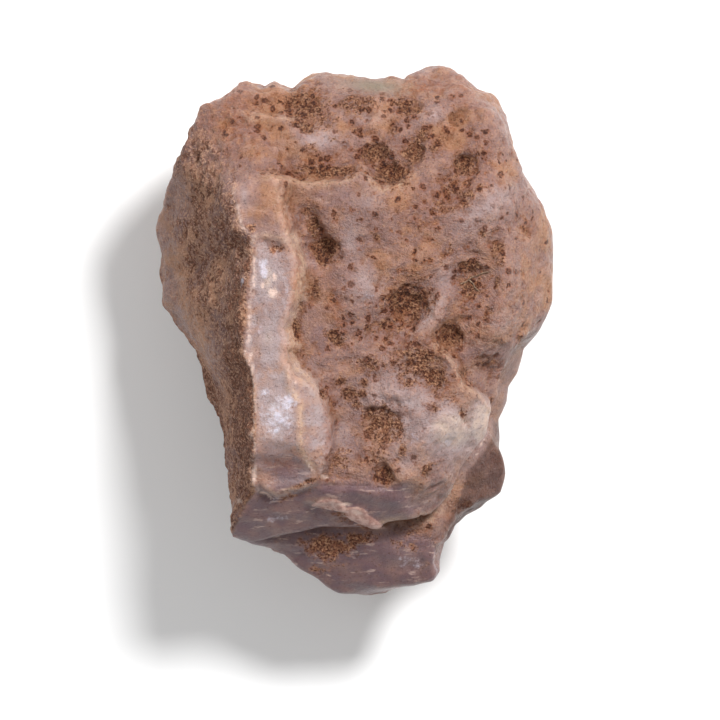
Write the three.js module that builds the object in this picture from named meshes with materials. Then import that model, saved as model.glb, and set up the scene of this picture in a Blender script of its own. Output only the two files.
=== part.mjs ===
// A chalcedony nodule: one weathered, broken stone that lies on a small flat spot with its broken face up.
// Millimetres, +Z up, +Y along the length. The origin is the middle of the stone's box, at the rest spot.
//
// The stone is a field that is below zero inside. Broken planes, a soil-covered flank, a pale strip,
// a thick front layer and a lower back layer are joined and cut with rounded edges. A closed mesh is
// then settled on it.

import * as THREE from 'three';
import { mergeVertices } from 'three/addons/utils/BufferGeometryUtils.js';

// Driving dimensions
const FACE_HEIGHT = 37.5;       // broken face, above the surface that the stone lies on
const STRIP_HEIGHT = 41.3;      // pale strip that stands proud of the face
const FLANK_HEIGHT = 42.5;      // crest between the strip and the left flank
const BACK_HEIGHT = 28.0;       // lower layer that shows past the front layer
const WAIST_HEIGHT = 15.0;      // widest section, where the silhouette is taken
const REST_SPOT = [0.0, 1.5];   // middle of the flat spot

// Sides, by the millimetre above or below the waist
const WAIST_RISE = [0.13, 0.16]; // the waist climbs to the right and towards the broad end
const WAIST_TAPER = 0.10;       // how much the sides draw in
const SIDE_DRIFT = 0.25;        // how far they wander
const DRIFT_REACH = 8;          // height over which they go on wandering
const DRIFT_SIZE = 11;
const EDGE_LOSS = 0.5;          // what the rounding takes off the silhouette, given back to it
const UNDERCUT = 0.30;          // how much the front layer's edge draws in for each millimetre down
const OVERHANG = FACE_HEIGHT - 3.5; // height under which it does

// Left flank: its slope, how its crest sinks at both ends and how it rounds off towards the broad end,
// each with the stretch of y that it changes over
const FLANK_SLOPE = { least: 1.75, more: 2.8, from: 5, to: -19 };
const CREST_SINK = [{ depth: 3.5, from: 5, to: 30 }, { depth: 2.5, from: -16, to: -34 }];
const CREST_ROUND = { least: 0.9, more: 5.0, from: 19, to: 29 };

// Mesh
const MESH_MIDDLE = new THREE.Vector3(0, 0, 19);
const MESH_SPREAD = new THREE.Vector3(33, 44, 24);
const MESH_DETAIL = 21;         // 20 x 22 x 22 faces
const FLAT_WITHIN = 0.06;       // points this low lie on the flat spot

// Silhouette seen from above, clockwise from the upper left
const SILHOUETTE = [
  [-24.4, 37.6], [-20.6, 38.5], [-18.4, 40.4], [-16.4, 40.3], [-14.2, 39.2], [-12.8, 40.2], [-9.8, 38.9],
  [-6.6, 41.0], [-4.6, 41.3], [1.5, 40.3], [8.0, 39.7], [11.6, 41.2], [15.2, 41.8], [17.2, 40.8],
  [19.8, 38.4], [22.0, 37.5], [23.8, 35.0], [25.6, 29.0], [27.2, 24.8], [30.0, 20.4], [31.0, 16.0],
  [31.0, 9.5], [30.7, 3.8], [29.2, 0.0], [26.9, -2.5], [25.6, -6.2], [24.0, -8.4], [23.6, -10.8],
  [22.2, -13.6], [22.2, -17.6],
  [23.4, -23.2], [22.9, -26.2], [18.4, -29.2], [15.4, -33.4], [14.7, -36.0], [15.0, -38.2], [13.4, -41.3],
  [4.0, -41.4], [0.8, -42.4], [-4.8, -41.4], [-9.8, -38.6], [-13.8, -35.0], [-17.2, -34.4], [-20.3, -32.4],
  [-20.2, -26.0], [-21.3, -17.0], [-22.9, -10.0], [-24.6, -3.0], [-28.2, 1.6], [-30.0, 4.4], [-29.8, 7.4],
  [-30.6, 9.8], [-30.3, 11.8], [-31.4, 15.4], [-31.3, 18.4], [-29.5, 20.9], [-28.9, 28.0], [-27.0, 32.8],
];

// Edge of the front layer where it stands over the back layer, from the right round to the left
const FRONT_EDGE = [
  [45.0, -12.0], [24.5, -13.2], [22.0, -14.2], [21.9, -16.2], [20.6, -18.6], [17.5, -22.4], [17.0, -25.0],
  [16.1, -27.4], [14.9, -29.4], [12.4, -30.5], [5.8, -30.9], [4.2, -31.6], [-5.0, -32.1], [-9.8, -33.3],
  [-14.0, -34.7], [-24.0, -38.0],
];

// Crest between the left flank and the pale strip, from top to bottom
const CREST = [
  [-24.5, 32.0], [-21.0, 26.5], [-19.2, 23.4], [-18.8, 19.6], [-17.9, 16.6], [-16.2, 15.0], [-15.9, 11.0],
  [-16.8, 0.0], [-17.3, -3.4], [-16.3, -5.5], [-15.9, -9.0], [-16.1, -23.0], [-15.4, -25.4], [-16.8, -27.6],
  [-18.4, -34.0],
];

// Right edge of the pale strip, from top to bottom
const STRIP_EDGE = [
  [-11.8, 26.0], [-11.0, 21.5], [-10.4, 17.8], [-8.0, 12.0], [-7.7, 9.0], [-8.0, 6.0], [-9.8, 0.4],
  [-8.8, -2.0], [-9.5, -4.2], [-8.4, -6.0], [-6.0, -8.0], [-4.5, -11.0], [-3.4, -15.0], [-3.3, -18.0],
  [-5.6, -23.5], [-6.0, -32.0],
];

// The broken face
const FACE = { at: [3.0, 5.0, FACE_HEIGHT], rise: [-0.05, 0.02] };

// The face falls back towards the broad end, but the strip stands on
const FALL_BACK = { at: [0.0, 24.0, 36.6], rise: [0.02, -0.36], round: 1.5 };

// Planes that cut the front layer from above: a point on each, its rise along x and y, and its rounding
const FRONT_PLANES = [
  { at: [0.0, 36.6, 31.8], rise: [0.00, -1.10], round: 1.2 },    // top rim
  { at: [-20.0, 27.0, 36.0], rise: [0.50, -0.45], round: 2.0 },  // top left shoulder
  { at: [26.5, 14.0, 34.2], rise: [-1.45, 0.10], round: 1.4 },   // right bevel
  { at: [23.5, 32.0, 32.0], rise: [-0.95, -0.25], round: 1.6 },  // top right
  { at: [25.0, -4.0, 32.0], rise: [-0.80, 0.50], round: 1.6 },   // lower right
  { at: [4.0, -25.0, 37.2], rise: [-0.02, 1.15], round: 0.5 },   // bevel at the foot of the face
  { at: [-11.0, -26.6, 36.4], rise: [0.16, 1.00], round: 0.4 },  // smooth bevel at the foot of the strip
];

// Planes that bound the back layer from above
const BACK_PLANES = [
  { at: [2.0, -36.0, 25.0], rise: [0.05, 0.75], round: 1.0 },    // lilac facet at the bottom
  { at: [0.0, -20.0, BACK_HEIGHT], rise: [0.0, 0.10], round: 1.0 },
  { at: [20.0, -23.0, 23.0], rise: [-0.80, 0.25], round: 1.0 },  // piece that shows past the boss
  { at: [0.0, -12.0, BACK_HEIGHT], rise: [0.0, -1.20], round: 1.0 },
];

// Planes of the pale strip: the two sides of a low roof, the scallop at its foot, and its broad end
const STRIP_PLANES = [
  { at: [-12.0, 0.0, STRIP_HEIGHT], rise: [0.20, -0.012], round: 0.8 },
  { at: [-9.0, 0.0, STRIP_HEIGHT + 0.3], rise: [-0.40, 0.0], round: 0.8 },
  { at: [-11.0, -17.8, STRIP_HEIGHT - 0.1], rise: [0.03, 0.52], round: 0.4 },
  { at: [0.0, 24.2, FACE_HEIGHT + 1.2], rise: [0.0, -0.75], round: 1.0 },
];
const STRIP_EDGE_SLOPE = 1.95;
const STRIP_EDGE_HEIGHT = FACE_HEIGHT + 1.5;
const STRIP_EDGE_ROUND = 0.45;
const STRIP_FOOT_ROUND = 0.5;

// Planes that cut the underside: the way each faces, its lean from straight down, and how far its foot
// is from the middle of the rest spot. The first eight spread from the spot, and the others are the
// steep sides.
const UNDER_PLANES = [
  { facing: 2, lean: 33, foot: 11.0 },
  { facing: 50, lean: 38, foot: 12.5 },
  { facing: 96, lean: 27, foot: 13.5 },
  { facing: 141, lean: 40, foot: 12.5 },
  { facing: 186, lean: 35, foot: 11.5 },
  { facing: 230, lean: 42, foot: 12.0 },
  { facing: 274, lean: 25, foot: 14.5 },
  { facing: 318, lean: 39, foot: 12.0 },
  { facing: 12, lean: 66, foot: 24.5 },
  { facing: 62, lean: 62, foot: 31.0 },
  { facing: 104, lean: 64, foot: 34.0 },
  { facing: 152, lean: 67, foot: 27.0 },
  { facing: 196, lean: 64, foot: 24.0 },
  { facing: 243, lean: 60, foot: 27.0 },
  { facing: 292, lean: 63, foot: 32.0 },
  { facing: 336, lean: 66, foot: 24.5 },
];

// Swells and hollows of the face: middle, half sizes, turn in degrees, and rise (below zero for a hollow)
const SWELLS = [
  { at: [15.0, -15.0], half: [7.5, 7.0], turn: 20, rise: 2.4 },   // whitish boss at the lower right
  { at: [12.0, -23.5], half: [6.0, 3.0], turn: 0, rise: 1.6 },
  { at: [6.5, -9.5], half: [3.5, 1.8], turn: 20, rise: 0.7 },
  { at: [2.0, 19.5], half: [6.0, 4.0], turn: 0, rise: 1.4 },
  { at: [0.5, 7.0], half: [3.5, 4.0], turn: 20, rise: 1.2 },
  { at: [12.6, 2.6], half: [1.6, 5.0], turn: -30, rise: 1.8 },    // bright ridge in the middle of the face
  { at: [20.5, 20.0], half: [4.0, 7.0], turn: -55, rise: 1.8 },   // smooth diagonal ridge
  { at: [22.5, 32.0], half: [4.0, 6.0], turn: 20, rise: 1.2 },
  { at: [11.0, 11.0], half: [4.0, 2.6], turn: 20, rise: 0.9 },
  { at: [24.0, 10.0], half: [3.0, 8.0], turn: 0, rise: 0.9 },
  { at: [-6.0, 30.5], half: [7.0, 2.4], turn: 0, rise: 0.8 },
  { at: [13.0, 35.5], half: [6.0, 2.0], turn: 20, rise: 0.8 },
  { at: [14.5, 26.5], half: [5.0, 1.4], turn: 35, rise: 0.7 },
  { at: [22.0, 1.0], half: [3.0, 4.0], turn: 0, rise: 0.9 },
  { at: [-4.9, 13.0], half: [1.9, 2.1], turn: 20, rise: -2.6 },   // dark pit beside the strip
  { at: [-6.6, 17.0], half: [2.0, 3.6], turn: 25, rise: -1.7 },
  { at: [5.4, 25.6], half: [2.6, 1.9], turn: -20, rise: -2.4 },   // pits under the top terrace
  { at: [3.2, 28.4], half: [2.4, 1.8], turn: 20, rise: -1.7 },
  { at: [9.4, 28.2], half: [1.8, 2.2], turn: 0, rise: -1.6 },
  { at: [17.4, 27.0], half: [2.6, 2.0], turn: 0, rise: -1.7 },
  { at: [15.5, 22.0], half: [5.5, 2.2], turn: 50, rise: -1.1 },
  { at: [18.4, 8.6], half: [3.2, 2.6], turn: 20, rise: -1.6 },
  { at: [8.6, 3.8], half: [3.4, 3.2], turn: 0, rise: -2.6 },      // large hollow in the middle
  { at: [5.5, 0.4], half: [3.0, 2.6], turn: 0, rise: -1.2 },
  { at: [15.2, -0.8], half: [1.7, 2.0], turn: 0, rise: -1.6 },
  { at: [12.4, -7.4], half: [2.6, 2.6], turn: 0, rise: -1.5 },
  { at: [4.4, -14.6], half: [3.3, 3.0], turn: 0, rise: -1.9 },
  { at: [4.6, -22.6], half: [1.6, 2.2], turn: 0, rise: -1.3 },
  { at: [-0.8, -14.0], half: [2.4, 8.0], turn: 0, rise: -1.2 },   // trough beside the shoulder
  { at: [-2.4, -1.2], half: [2.0, 1.6], turn: -40, rise: -0.9 },
  { at: [-8.0, 36.0], half: [5.0, 1.4], turn: 0, rise: -1.0 },
  { at: [-7.6, 33.0], half: [2.0, 1.2], turn: 0, rise: -0.9 },
  { at: [9.0, 36.0], half: [2.4, 1.6], turn: 0, rise: -1.0 },
  { at: [22.4, -4.6], half: [4.0, 2.4], turn: 0, rise: -0.8 },
  { at: [22.8, 13.6], half: [1.2, 2.0], turn: 0, rise: -0.7 },
  { at: [16.2, 34.2], half: [2.0, 1.2], turn: 20, rise: -0.6 },
  { at: [20.6, -6.6], half: [2.8, 2.4], turn: 0, rise: -1.5 },
  { at: [-11.0, -21.6], half: [4.0, 2.6], turn: 0, rise: -0.9 },  // scallop at the foot of the strip
  { at: [-12.4, 13.2], half: [1.8, 1.0], turn: 0, rise: -0.8 },
];

// Steps in the face: path, rise of its left side over its right, half width of the step, and reach
const LEDGES = [
  {                                                               // terrace above the strip
    path: [[1.4, 26.8], [-0.4, 25.0], [-2.0, 24.2], [-5.0, 24.0], [-9.0, 24.2], [-15.5, 25.4]],
    rise: 3.0, width: 0.3, reach: 4.0,
  },
  {
    path: [[10.5, 26.2], [7.4, 24.1], [4.6, 23.1], [3.0, 24.2], [1.2, 27.0]],
    rise: 2.2, width: 0.3, reach: 2.6,
  },
  { path: [[-5.8, 33.0], [-10.0, 34.3], [-16.0, 34.6], [-18.6, 35.6]], rise: 1.8, width: 0.3, reach: 3.0 },
  {                                                               // edge of the boss
    path: [
      [11.5, -0.5], [16.2, -4.4], [16.8, -6.2], [17.5, -8.2], [19.2, -9.1], [20.9, -10.3], [21.8, -12.0],
      [22.4, -15.0], [22.6, -18.0],
    ],
    rise: -3.4, width: 0.3, reach: 4.5,
  },
  {                                                               // chipped rim of the scallop
    path: [[-15.6, -23.0], [-14.2, -25.2], [-12.2, -26.2], [-10.0, -25.4], [-5.0, -24.0]],
    rise: 0.9, width: 0.25, reach: 1.8,
  },
  { path: [[-16.9, 13.6], [-14.8, 14.9], [-12.0, 14.4], [-8.4, 12.6]], rise: 0.7, width: 0.3, reach: 2.0 },
  {                                                               // shell over the bevel at the foot
    path: [[-8.6, -27.2], [-3.2, -27.0], [-2.1, -28.8], [1.4, -30.0], [4.4, -31.6]],
    rise: 0.9, width: 0.2, reach: 2.2,
  },
  {
    path: [[-23.5, -9.0], [-21.0, -10.6], [-19.6, -9.4], [-17.2, -4.0]],
    rise: 1.0, width: 0.3, reach: 2.0,
  },
];

// Natural roughness: size of the lumps and how far they stand. The face is calmer, and the rest spot
// is flat.
const ROUGHNESS = [
  { size: 13, height: 0.70, seed: 1 },
  { size: 6, height: 0.45, seed: 2 },
  { size: 2.8, height: 0.22, seed: 3 },
];
const UNDER_LUMPS = { size: 15, height: 1.3, seed: 6 };
const FACE_CALM = { share: 0.6, from: 22, to: 32 };
const SPOT_FADE = { from: 0, to: 5 };
const RELIEF_FADE = { from: 22, to: 30 };

const clamp = THREE.MathUtils.clamp;
const smoothstep = THREE.MathUtils.smoothstep;

// Noise from -1 to 1 on a lattice of hashed values
function hashed(ix, iy, iz, seed) {
  let h = Math.imul(ix, 374761393) + Math.imul(iy, 668265263);
  h += Math.imul(iz, 1440662683) + Math.imul(seed, 974634777);
  h = Math.imul(h ^ (h >>> 13), 1274126177);
  h = Math.imul(h ^ (h >>> 16), 2246822519);
  return ((h ^ (h >>> 15)) >>> 0) / 2147483648 - 1;
}

function noise(x, y, z, size, seed) {
  const place = [x / size, y / size, z / size];
  const cell = place.map(Math.floor);
  const ease = place.map((value, k) => THREE.MathUtils.smootherstep(value - cell[k], 0, 1));
  let total = 0;
  for (let corner = 0; corner < 8; corner++) {
    const step = [corner & 1, (corner >> 1) & 1, (corner >> 2) & 1];
    const share = step.reduce((product, s, k) => product * (s ? ease[k] : 1 - ease[k]), 1);
    total += share * hashed(cell[0] + step[0], cell[1] + step[1], cell[2] + step[2], seed);
  }
  return total;
}

// Larger or smaller of two values, rounded where they cross
function roundMax(a, b, round) {
  const share = clamp(0.5 + 0.5 * (a - b) / round, 0, 1);
  return b + (a - b) * share + round * share * (1 - share);
}

const roundMin = (a, b, round) => -roundMax(-a, -b, round);

// Below zero under a plane
function overPlane(x, y, z, { at, rise }) {
  const height = at[2] + rise[0] * (x - at[0]) + rise[1] * (y - at[1]);
  return (z - height) / Math.hypot(1, rise[0], rise[1]);
}

// Offset from an open path, above zero on the left of its travel, with the distance and a fade at its
// two ends
function fromPath(path, x, y, taper = 3) {
  let away = Infinity;
  let side = 0;
  let along = 0;
  let run = 0;
  for (let i = 1; i < path.length; i++) {
    const [ax, ay] = path[i - 1];
    const ex = path[i][0] - ax;
    const ey = path[i][1] - ay;
    const length = Math.hypot(ex, ey);
    const t = clamp(((x - ax) * ex + (y - ay) * ey) / length ** 2, 0, 1);
    const distance = Math.hypot(x - ax - t * ex, y - ay - t * ey);
    if (distance < away - 1e-9) {
      away = distance;
      side = Math.sign(ex * (y - ay) - ey * (x - ax)) * distance;
      along = run + t * length;
    }
    run += length;
  }
  return { side, away, fade: smoothstep(along, 0, taper) * smoothstep(run - along, 0, taper) };
}

// Distance to the silhouette, below zero inside it
function fromSilhouette(x, y) {
  let away = Infinity;
  let inside = false;
  SILHOUETTE.forEach(([ax, ay], i) => {
    const [bx, by] = SILHOUETTE[(i + 1) % SILHOUETTE.length];
    const ex = bx - ax;
    const ey = by - ay;
    const t = clamp(((x - ax) * ex + (y - ay) * ey) / (ex * ex + ey * ey), 0, 1);
    away = Math.min(away, Math.hypot(x - ax - t * ex, y - ay - t * ey));
    if ((ay > y) !== (by > y) && x < ax + ex * (y - ay) / ey) inside = !inside;
  });
  return inside ? -away : away;
}

// Height that the swells, hollows and ledges add to the front layer
function relief(x, y) {
  let total = 0;
  for (const { at, half, turn, rise } of SWELLS) {
    const angle = THREE.MathUtils.degToRad(turn);
    const u = ((x - at[0]) * Math.cos(angle) + (y - at[1]) * Math.sin(angle)) / half[0];
    const v = ((y - at[1]) * Math.cos(angle) - (x - at[0]) * Math.sin(angle)) / half[1];
    total += rise * Math.exp(-(u * u + v * v));
  }
  for (const { path, rise, width, reach } of LEDGES) {
    const { side, away, fade } = fromPath(path, x, y);
    total += 0.5 * rise * Math.tanh(side / width) * Math.exp(-away / reach) * fade;
  }
  return total;
}

// The planes' common part under them, rounded where they cross
function underPlanes(planes, x, y, z) {
  let body = overPlane(x, y, z, planes[0]);
  for (const plane of planes.slice(1)) body = roundMax(body, overPlane(x, y, z, plane), plane.round);
  return body;
}

function strip(x, y, z) {
  const out = fromPath(STRIP_EDGE, x, y).side * STRIP_EDGE_SLOPE + z - STRIP_EDGE_HEIGHT;
  const edge = out / Math.hypot(1, STRIP_EDGE_SLOPE);
  return roundMax(underPlanes(STRIP_PLANES, x, y, z), edge, STRIP_EDGE_ROUND);
}

// How far a value has gone from one end of a stretch to the other, from 0 to 1
function progress(value, { from, to }) {
  return smoothstep((value - from) / (to - from), 0, 1);
}

// Left flank: steep, and steeper towards the foot of the stone
function flank(x, y, z) {
  const slope = FLANK_SLOPE.least + FLANK_SLOPE.more * progress(y, FLANK_SLOPE);
  let crest = FLANK_HEIGHT;
  for (const sink of CREST_SINK) crest -= sink.depth * progress(y, sink);
  return (z - crest - fromPath(CREST, x, y).side * slope) / Math.hypot(1, slope);
}

function frontLayer(x, y, z) {
  const face = roundMax(overPlane(x, y, z, FACE), overPlane(x, y, z, FALL_BACK), FALL_BACK.round);
  let body = roundMin(face, strip(x, y, z), STRIP_FOOT_ROUND);
  for (const plane of FRONT_PLANES) body = roundMax(body, overPlane(x, y, z, plane), plane.round);
  body -= relief(x, y) * progress(z, RELIEF_FADE);
  const edge = fromPath(FRONT_EDGE, x, y).side + UNDERCUT * Math.max(0, OVERHANG - z);
  return roundMax(body, edge / Math.hypot(1, UNDERCUT), 0.6);
}

// Below zero inside the planes of the underside, which are bent by broad lumps
function underside(x, y, z) {
  let body = -z;
  for (const { facing, lean, foot } of UNDER_PLANES) {
    const angle = THREE.MathUtils.degToRad(facing);
    const tilt = THREE.MathUtils.degToRad(lean);
    const out = (x - REST_SPOT[0]) * Math.cos(angle) + (y - REST_SPOT[1]) * Math.sin(angle) - foot;
    body = roundMax(body, out * Math.sin(tilt) - z * Math.cos(tilt), 1.0);
  }
  const lumps = UNDER_LUMPS.height * noise(x, y, z, UNDER_LUMPS.size, UNDER_LUMPS.seed);
  return body + lumps * progress(z, SPOT_FADE);
}

// Distance to the sides, which wander away from the silhouette above and below the waist
function sides(x, y, z) {
  const rise = z - WAIST_HEIGHT - WAIST_RISE[0] * x - WAIST_RISE[1] * y;
  const drift = SIDE_DRIFT * clamp(rise, -DRIFT_REACH, DRIFT_REACH);
  const acrossX = x + drift * noise(x, y, z, DRIFT_SIZE, 4);
  const acrossY = y + drift * noise(x, y, z, DRIFT_SIZE, 5);
  return fromSilhouette(acrossX, acrossY) - EDGE_LOSS + WAIST_TAPER * Math.abs(rise);
}

// The whole stone, below zero inside
function stone(x, y, z) {
  let body = roundMin(frontLayer(x, y, z), underPlanes(BACK_PLANES, x, y, z), 0.35);
  body = roundMax(body, flank(x, y, z), CREST_ROUND.least + CREST_ROUND.more * progress(y, CREST_ROUND));
  body = roundMax(body, sides(x, y, z), 0.9);
  body = roundMax(body, underside(x, y, z), 1.0);
  const share = (1 - FACE_CALM.share * progress(z, FACE_CALM)) * progress(z, SPOT_FADE);
  for (const { size, height, seed } of ROUGHNESS) body -= share * height * noise(x, y, z, size, seed);
  return Math.max(body, -z);
}

function slopeOf(field, p, reach = 0.05) {
  const slope = new THREE.Vector3();
  for (const axis of ['x', 'y', 'z']) {
    const ahead = p.clone();
    const behind = p.clone();
    ahead[axis] += reach;
    behind[axis] -= reach;
    slope[axis] = (field(ahead.x, ahead.y, ahead.z) - field(behind.x, behind.y, behind.z)) / (2 * reach);
  }
  return slope;
}

// Moves a point onto the field's zero surface along the steepest way
function settle(field, p, rounds, longest) {
  for (let round = 0; round < rounds; round++) {
    const slope = slopeOf(field, p);
    const move = slope.multiplyScalar(-field(p.x, p.y, p.z) / Math.max(slope.lengthSq(), 0.25));
    p.add(move.clampLength(0, longest));
  }
}

// First guess: from outside inwards along a ray, to the first point of the stone
function outermost(field, middle, way) {
  const start = 60;
  const stride = 0.75;
  for (let reach = start; reach > 0; reach -= stride) {
    const p = middle.clone().addScaledVector(way, reach);
    if (field(p.x, p.y, p.z) < 0) return p.addScaledVector(way, stride / 2);
  }
  return middle.clone();
}

function neighboursOf(index, count) {
  const around = Array.from({ length: count }, () => new Set());
  for (let i = 0; i < index.count; i += 3) {
    const corners = [index.getX(i), index.getX(i + 1), index.getX(i + 2)];
    for (const a of corners) for (const b of corners) if (a !== b) around[a].add(b);
  }
  return around.map((set) => [...set]);
}

// Closed mesh of a field: a ball of even faces, drawn in to the surface, then evened out along it
function meshOf(field) {
  const ball = new THREE.IcosahedronGeometry(1, MESH_DETAIL);
  ball.deleteAttribute('normal');
  ball.deleteAttribute('uv');
  const geometry = mergeVertices(ball, 1e-5);
  const position = geometry.getAttribute('position');
  const points = [];
  for (let i = 0; i < position.count; i++) {
    const way = new THREE.Vector3().fromBufferAttribute(position, i).multiply(MESH_SPREAD).normalize();
    points.push(outermost(field, MESH_MIDDLE, way));
  }
  const around = neighboursOf(geometry.index, points.length);
  const eveningRounds = 6;
  const eveningShare = 0.5;
  for (let round = 0; round < eveningRounds; round++) {
    for (const p of points) settle(field, p, 1, 0.6);
    const evened = points.map((p, i) => {
      const mean = new THREE.Vector3();
      for (const k of around[i]) mean.addScaledVector(points[k], 1 / around[i].length);
      const normal = slopeOf(field, p).normalize();
      const shift = mean.sub(p);
      return p.clone().addScaledVector(shift.addScaledVector(normal, -shift.dot(normal)), eveningShare);
    });
    evened.forEach((p, i) => points[i].copy(p));
  }
  points.forEach((p, i) => {
    settle(field, p, 4, 0.3);
    position.setXYZ(i, p.x, p.y, p.z < FLAT_WITHIN ? 0 : p.z);
  });
  geometry.computeVertexNormals();
  return geometry;
}

const milkyStone = new THREE.MeshStandardMaterial({ color: 0xa78877, roughness: 0.5, metalness: 0 });

const model = new THREE.Group();
const chalcedony = new THREE.Mesh(meshOf(stone), milkyStone);
chalcedony.name = 'chalcedony';
model.add(chalcedony);

export default model;
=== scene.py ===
"""A chalcedony nodule: its fine surface, finish, light and camera.

Lengths in the tables are millimetres in the model's own frame: +X to the right, +Y towards the broad end,
+Z up out of the broken face. The stone's shape is the same field as the solid's, below zero inside, but a
low step and a small hollow at the broad end of the strip are softer here. The fine relief is added to it.
"""

import math

import bpy
import numpy as np
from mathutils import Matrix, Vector
from mathutils import noise as fine_noise


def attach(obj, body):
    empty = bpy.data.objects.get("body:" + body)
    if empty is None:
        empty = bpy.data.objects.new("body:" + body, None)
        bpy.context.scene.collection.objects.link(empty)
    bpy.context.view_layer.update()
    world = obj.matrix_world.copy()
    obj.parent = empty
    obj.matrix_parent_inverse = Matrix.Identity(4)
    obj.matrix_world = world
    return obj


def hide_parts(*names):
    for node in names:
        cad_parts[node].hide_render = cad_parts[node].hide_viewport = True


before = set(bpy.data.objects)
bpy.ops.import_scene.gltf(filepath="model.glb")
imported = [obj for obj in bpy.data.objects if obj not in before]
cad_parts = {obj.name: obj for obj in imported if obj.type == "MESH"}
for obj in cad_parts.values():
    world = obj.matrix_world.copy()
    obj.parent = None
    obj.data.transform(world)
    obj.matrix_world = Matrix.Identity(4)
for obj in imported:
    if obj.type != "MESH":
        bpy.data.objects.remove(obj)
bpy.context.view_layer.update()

MM = 0.001

# Driving dimensions
FACE_HEIGHT = 37.5
STRIP_HEIGHT = 41.3
FLANK_HEIGHT = 42.5
BACK_HEIGHT = 28.0
WAIST_HEIGHT = 15.0
REST_SPOT = (0.0, 1.5)

# Sides, by the millimetre above or below the waist
WAIST_RISE = (0.13, 0.16)
WAIST_TAPER = 0.10
SIDE_DRIFT = 0.25
DRIFT_REACH = 8
DRIFT_SIZE = 11
EDGE_LOSS = 0.5
UNDERCUT = 0.30
OVERHANG = FACE_HEIGHT - 3.5

# Left flank: its slope, and how its crest sinks at both ends, each with the stretch of y that it changes over
FLANK_SLOPE = dict(least=1.75, more=2.8, stretch=(5, -19))
CREST_SINK = [dict(depth=3.5, stretch=(5, 30)), dict(depth=2.5, stretch=(-16, -34))]
CREST_ROUND = dict(least=0.9, more=5.0, stretch=(19, 29))

# Silhouette seen from above, clockwise from the upper left
SILHOUETTE = [
    (-24.4, 37.6), (-20.6, 38.5), (-18.4, 40.4), (-16.4, 40.3), (-14.2, 39.2), (-12.8, 40.2),
    (-9.8, 38.9), (-6.6, 41), (-4.6, 41.3), (1.5, 40.3), (8, 39.7), (11.6, 41.2), (15.2, 41.8),
    (17.2, 40.8), (19.8, 38.4), (22, 37.5), (23.8, 35), (25.6, 29), (27.2, 24.8), (30, 20.4), (31, 16),
    (31, 9.5), (30.7, 3.8), (29.2, 0), (26.9, -2.5), (25.6, -6.2), (24, -8.4), (23.6, -10.8),
    (22.2, -13.6), (22.2, -17.6), (23.4, -23.2), (22.9, -26.2), (18.4, -29.2), (15.4, -33.4), (14.7, -36),
    (15, -38.2), (13.4, -41.3), (4, -41.4), (0.8, -42.4), (-4.8, -41.4), (-9.8, -38.6), (-13.8, -35),
    (-17.2, -34.4), (-20.3, -32.4), (-20.2, -26), (-21.3, -17), (-22.9, -10), (-24.6, -3), (-28.2, 1.6),
    (-30, 4.4), (-29.8, 7.4), (-30.6, 9.8), (-30.3, 11.8), (-31.4, 15.4), (-31.3, 18.4), (-29.5, 20.9),
    (-28.9, 28), (-27, 32.8),
]

# Edge of the front layer where it stands over the back layer, from the right round to the left
FRONT_EDGE = [
    (45, -12), (24.5, -13.2), (22, -14.2), (21.9, -16.2), (20.6, -18.6), (17.5, -22.4), (17, -25),
    (16.1, -27.4), (14.9, -29.4), (12.4, -30.5), (5.8, -30.9), (4.2, -31.6), (-5, -32.1), (-9.8, -33.3),
    (-14, -34.7), (-24, -38),
]

# Crest between the left flank and the pale strip, from top to bottom
CREST = [
    (-24.5, 32), (-21, 26.5), (-19.2, 23.4), (-18.8, 19.6), (-17.9, 16.6), (-16.2, 15), (-15.9, 11),
    (-16.8, 0), (-17.3, -3.4), (-16.3, -5.5), (-15.9, -9), (-16.1, -23), (-15.4, -25.4), (-16.8, -27.6),
    (-18.4, -34),
]

# Right edge of the pale strip, from top to bottom
STRIP_EDGE = [
    (-11.8, 26), (-11, 21.5), (-10.4, 17.8), (-8, 12), (-7.7, 9), (-8, 6), (-9.8, 0.4), (-8.8, -2),
    (-9.5, -4.2), (-8.4, -6), (-6, -8), (-4.5, -11), (-3.4, -15), (-3.3, -18), (-5.6, -23.5), (-6, -32),
]

# The broken face
FACE = dict(at=(3.0, 5.0, FACE_HEIGHT), rise=(-0.05, 0.02))

# The face falls back towards the broad end, but the strip stands on
FALL_BACK = dict(at=(0.0, 24.0, 36.6), rise=(0.02, -0.36), round=1.5)

# Planes that cut the front layer from above: a point on each, its rise along x and y, and its rounding
FRONT_PLANES = [
    dict(at=(0, 36.6, 31.8), rise=(0, -1.1), round=1.2),  # top rim
    dict(at=(-20, 27, 36), rise=(0.5, -0.45), round=2),  # top left shoulder
    dict(at=(26.5, 14, 34.2), rise=(-1.45, 0.1), round=1.4),  # right bevel
    dict(at=(23.5, 32, 32), rise=(-0.95, -0.25), round=1.6),  # top right
    dict(at=(25, -4, 32), rise=(-0.8, 0.5), round=1.6),  # lower right
    dict(at=(4, -25, 37.2), rise=(-0.02, 1.15), round=0.5),  # bevel at the foot of the face
    dict(at=(-11, -26.6, 36.4), rise=(0.16, 1), round=0.4),  # smooth bevel at the foot of the strip
]

# Planes that bound the back layer from above
BACK_PLANES = [
    dict(at=(2, -36, 25), rise=(0.05, 0.75), round=1),  # lilac facet at the bottom
    dict(at=(0, -20, BACK_HEIGHT), rise=(0, 0.1), round=1),
    dict(at=(20, -23, 23), rise=(-0.8, 0.25), round=1),  # piece that shows past the boss
    dict(at=(0, -12, BACK_HEIGHT), rise=(0, -1.2), round=1),
]

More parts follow.
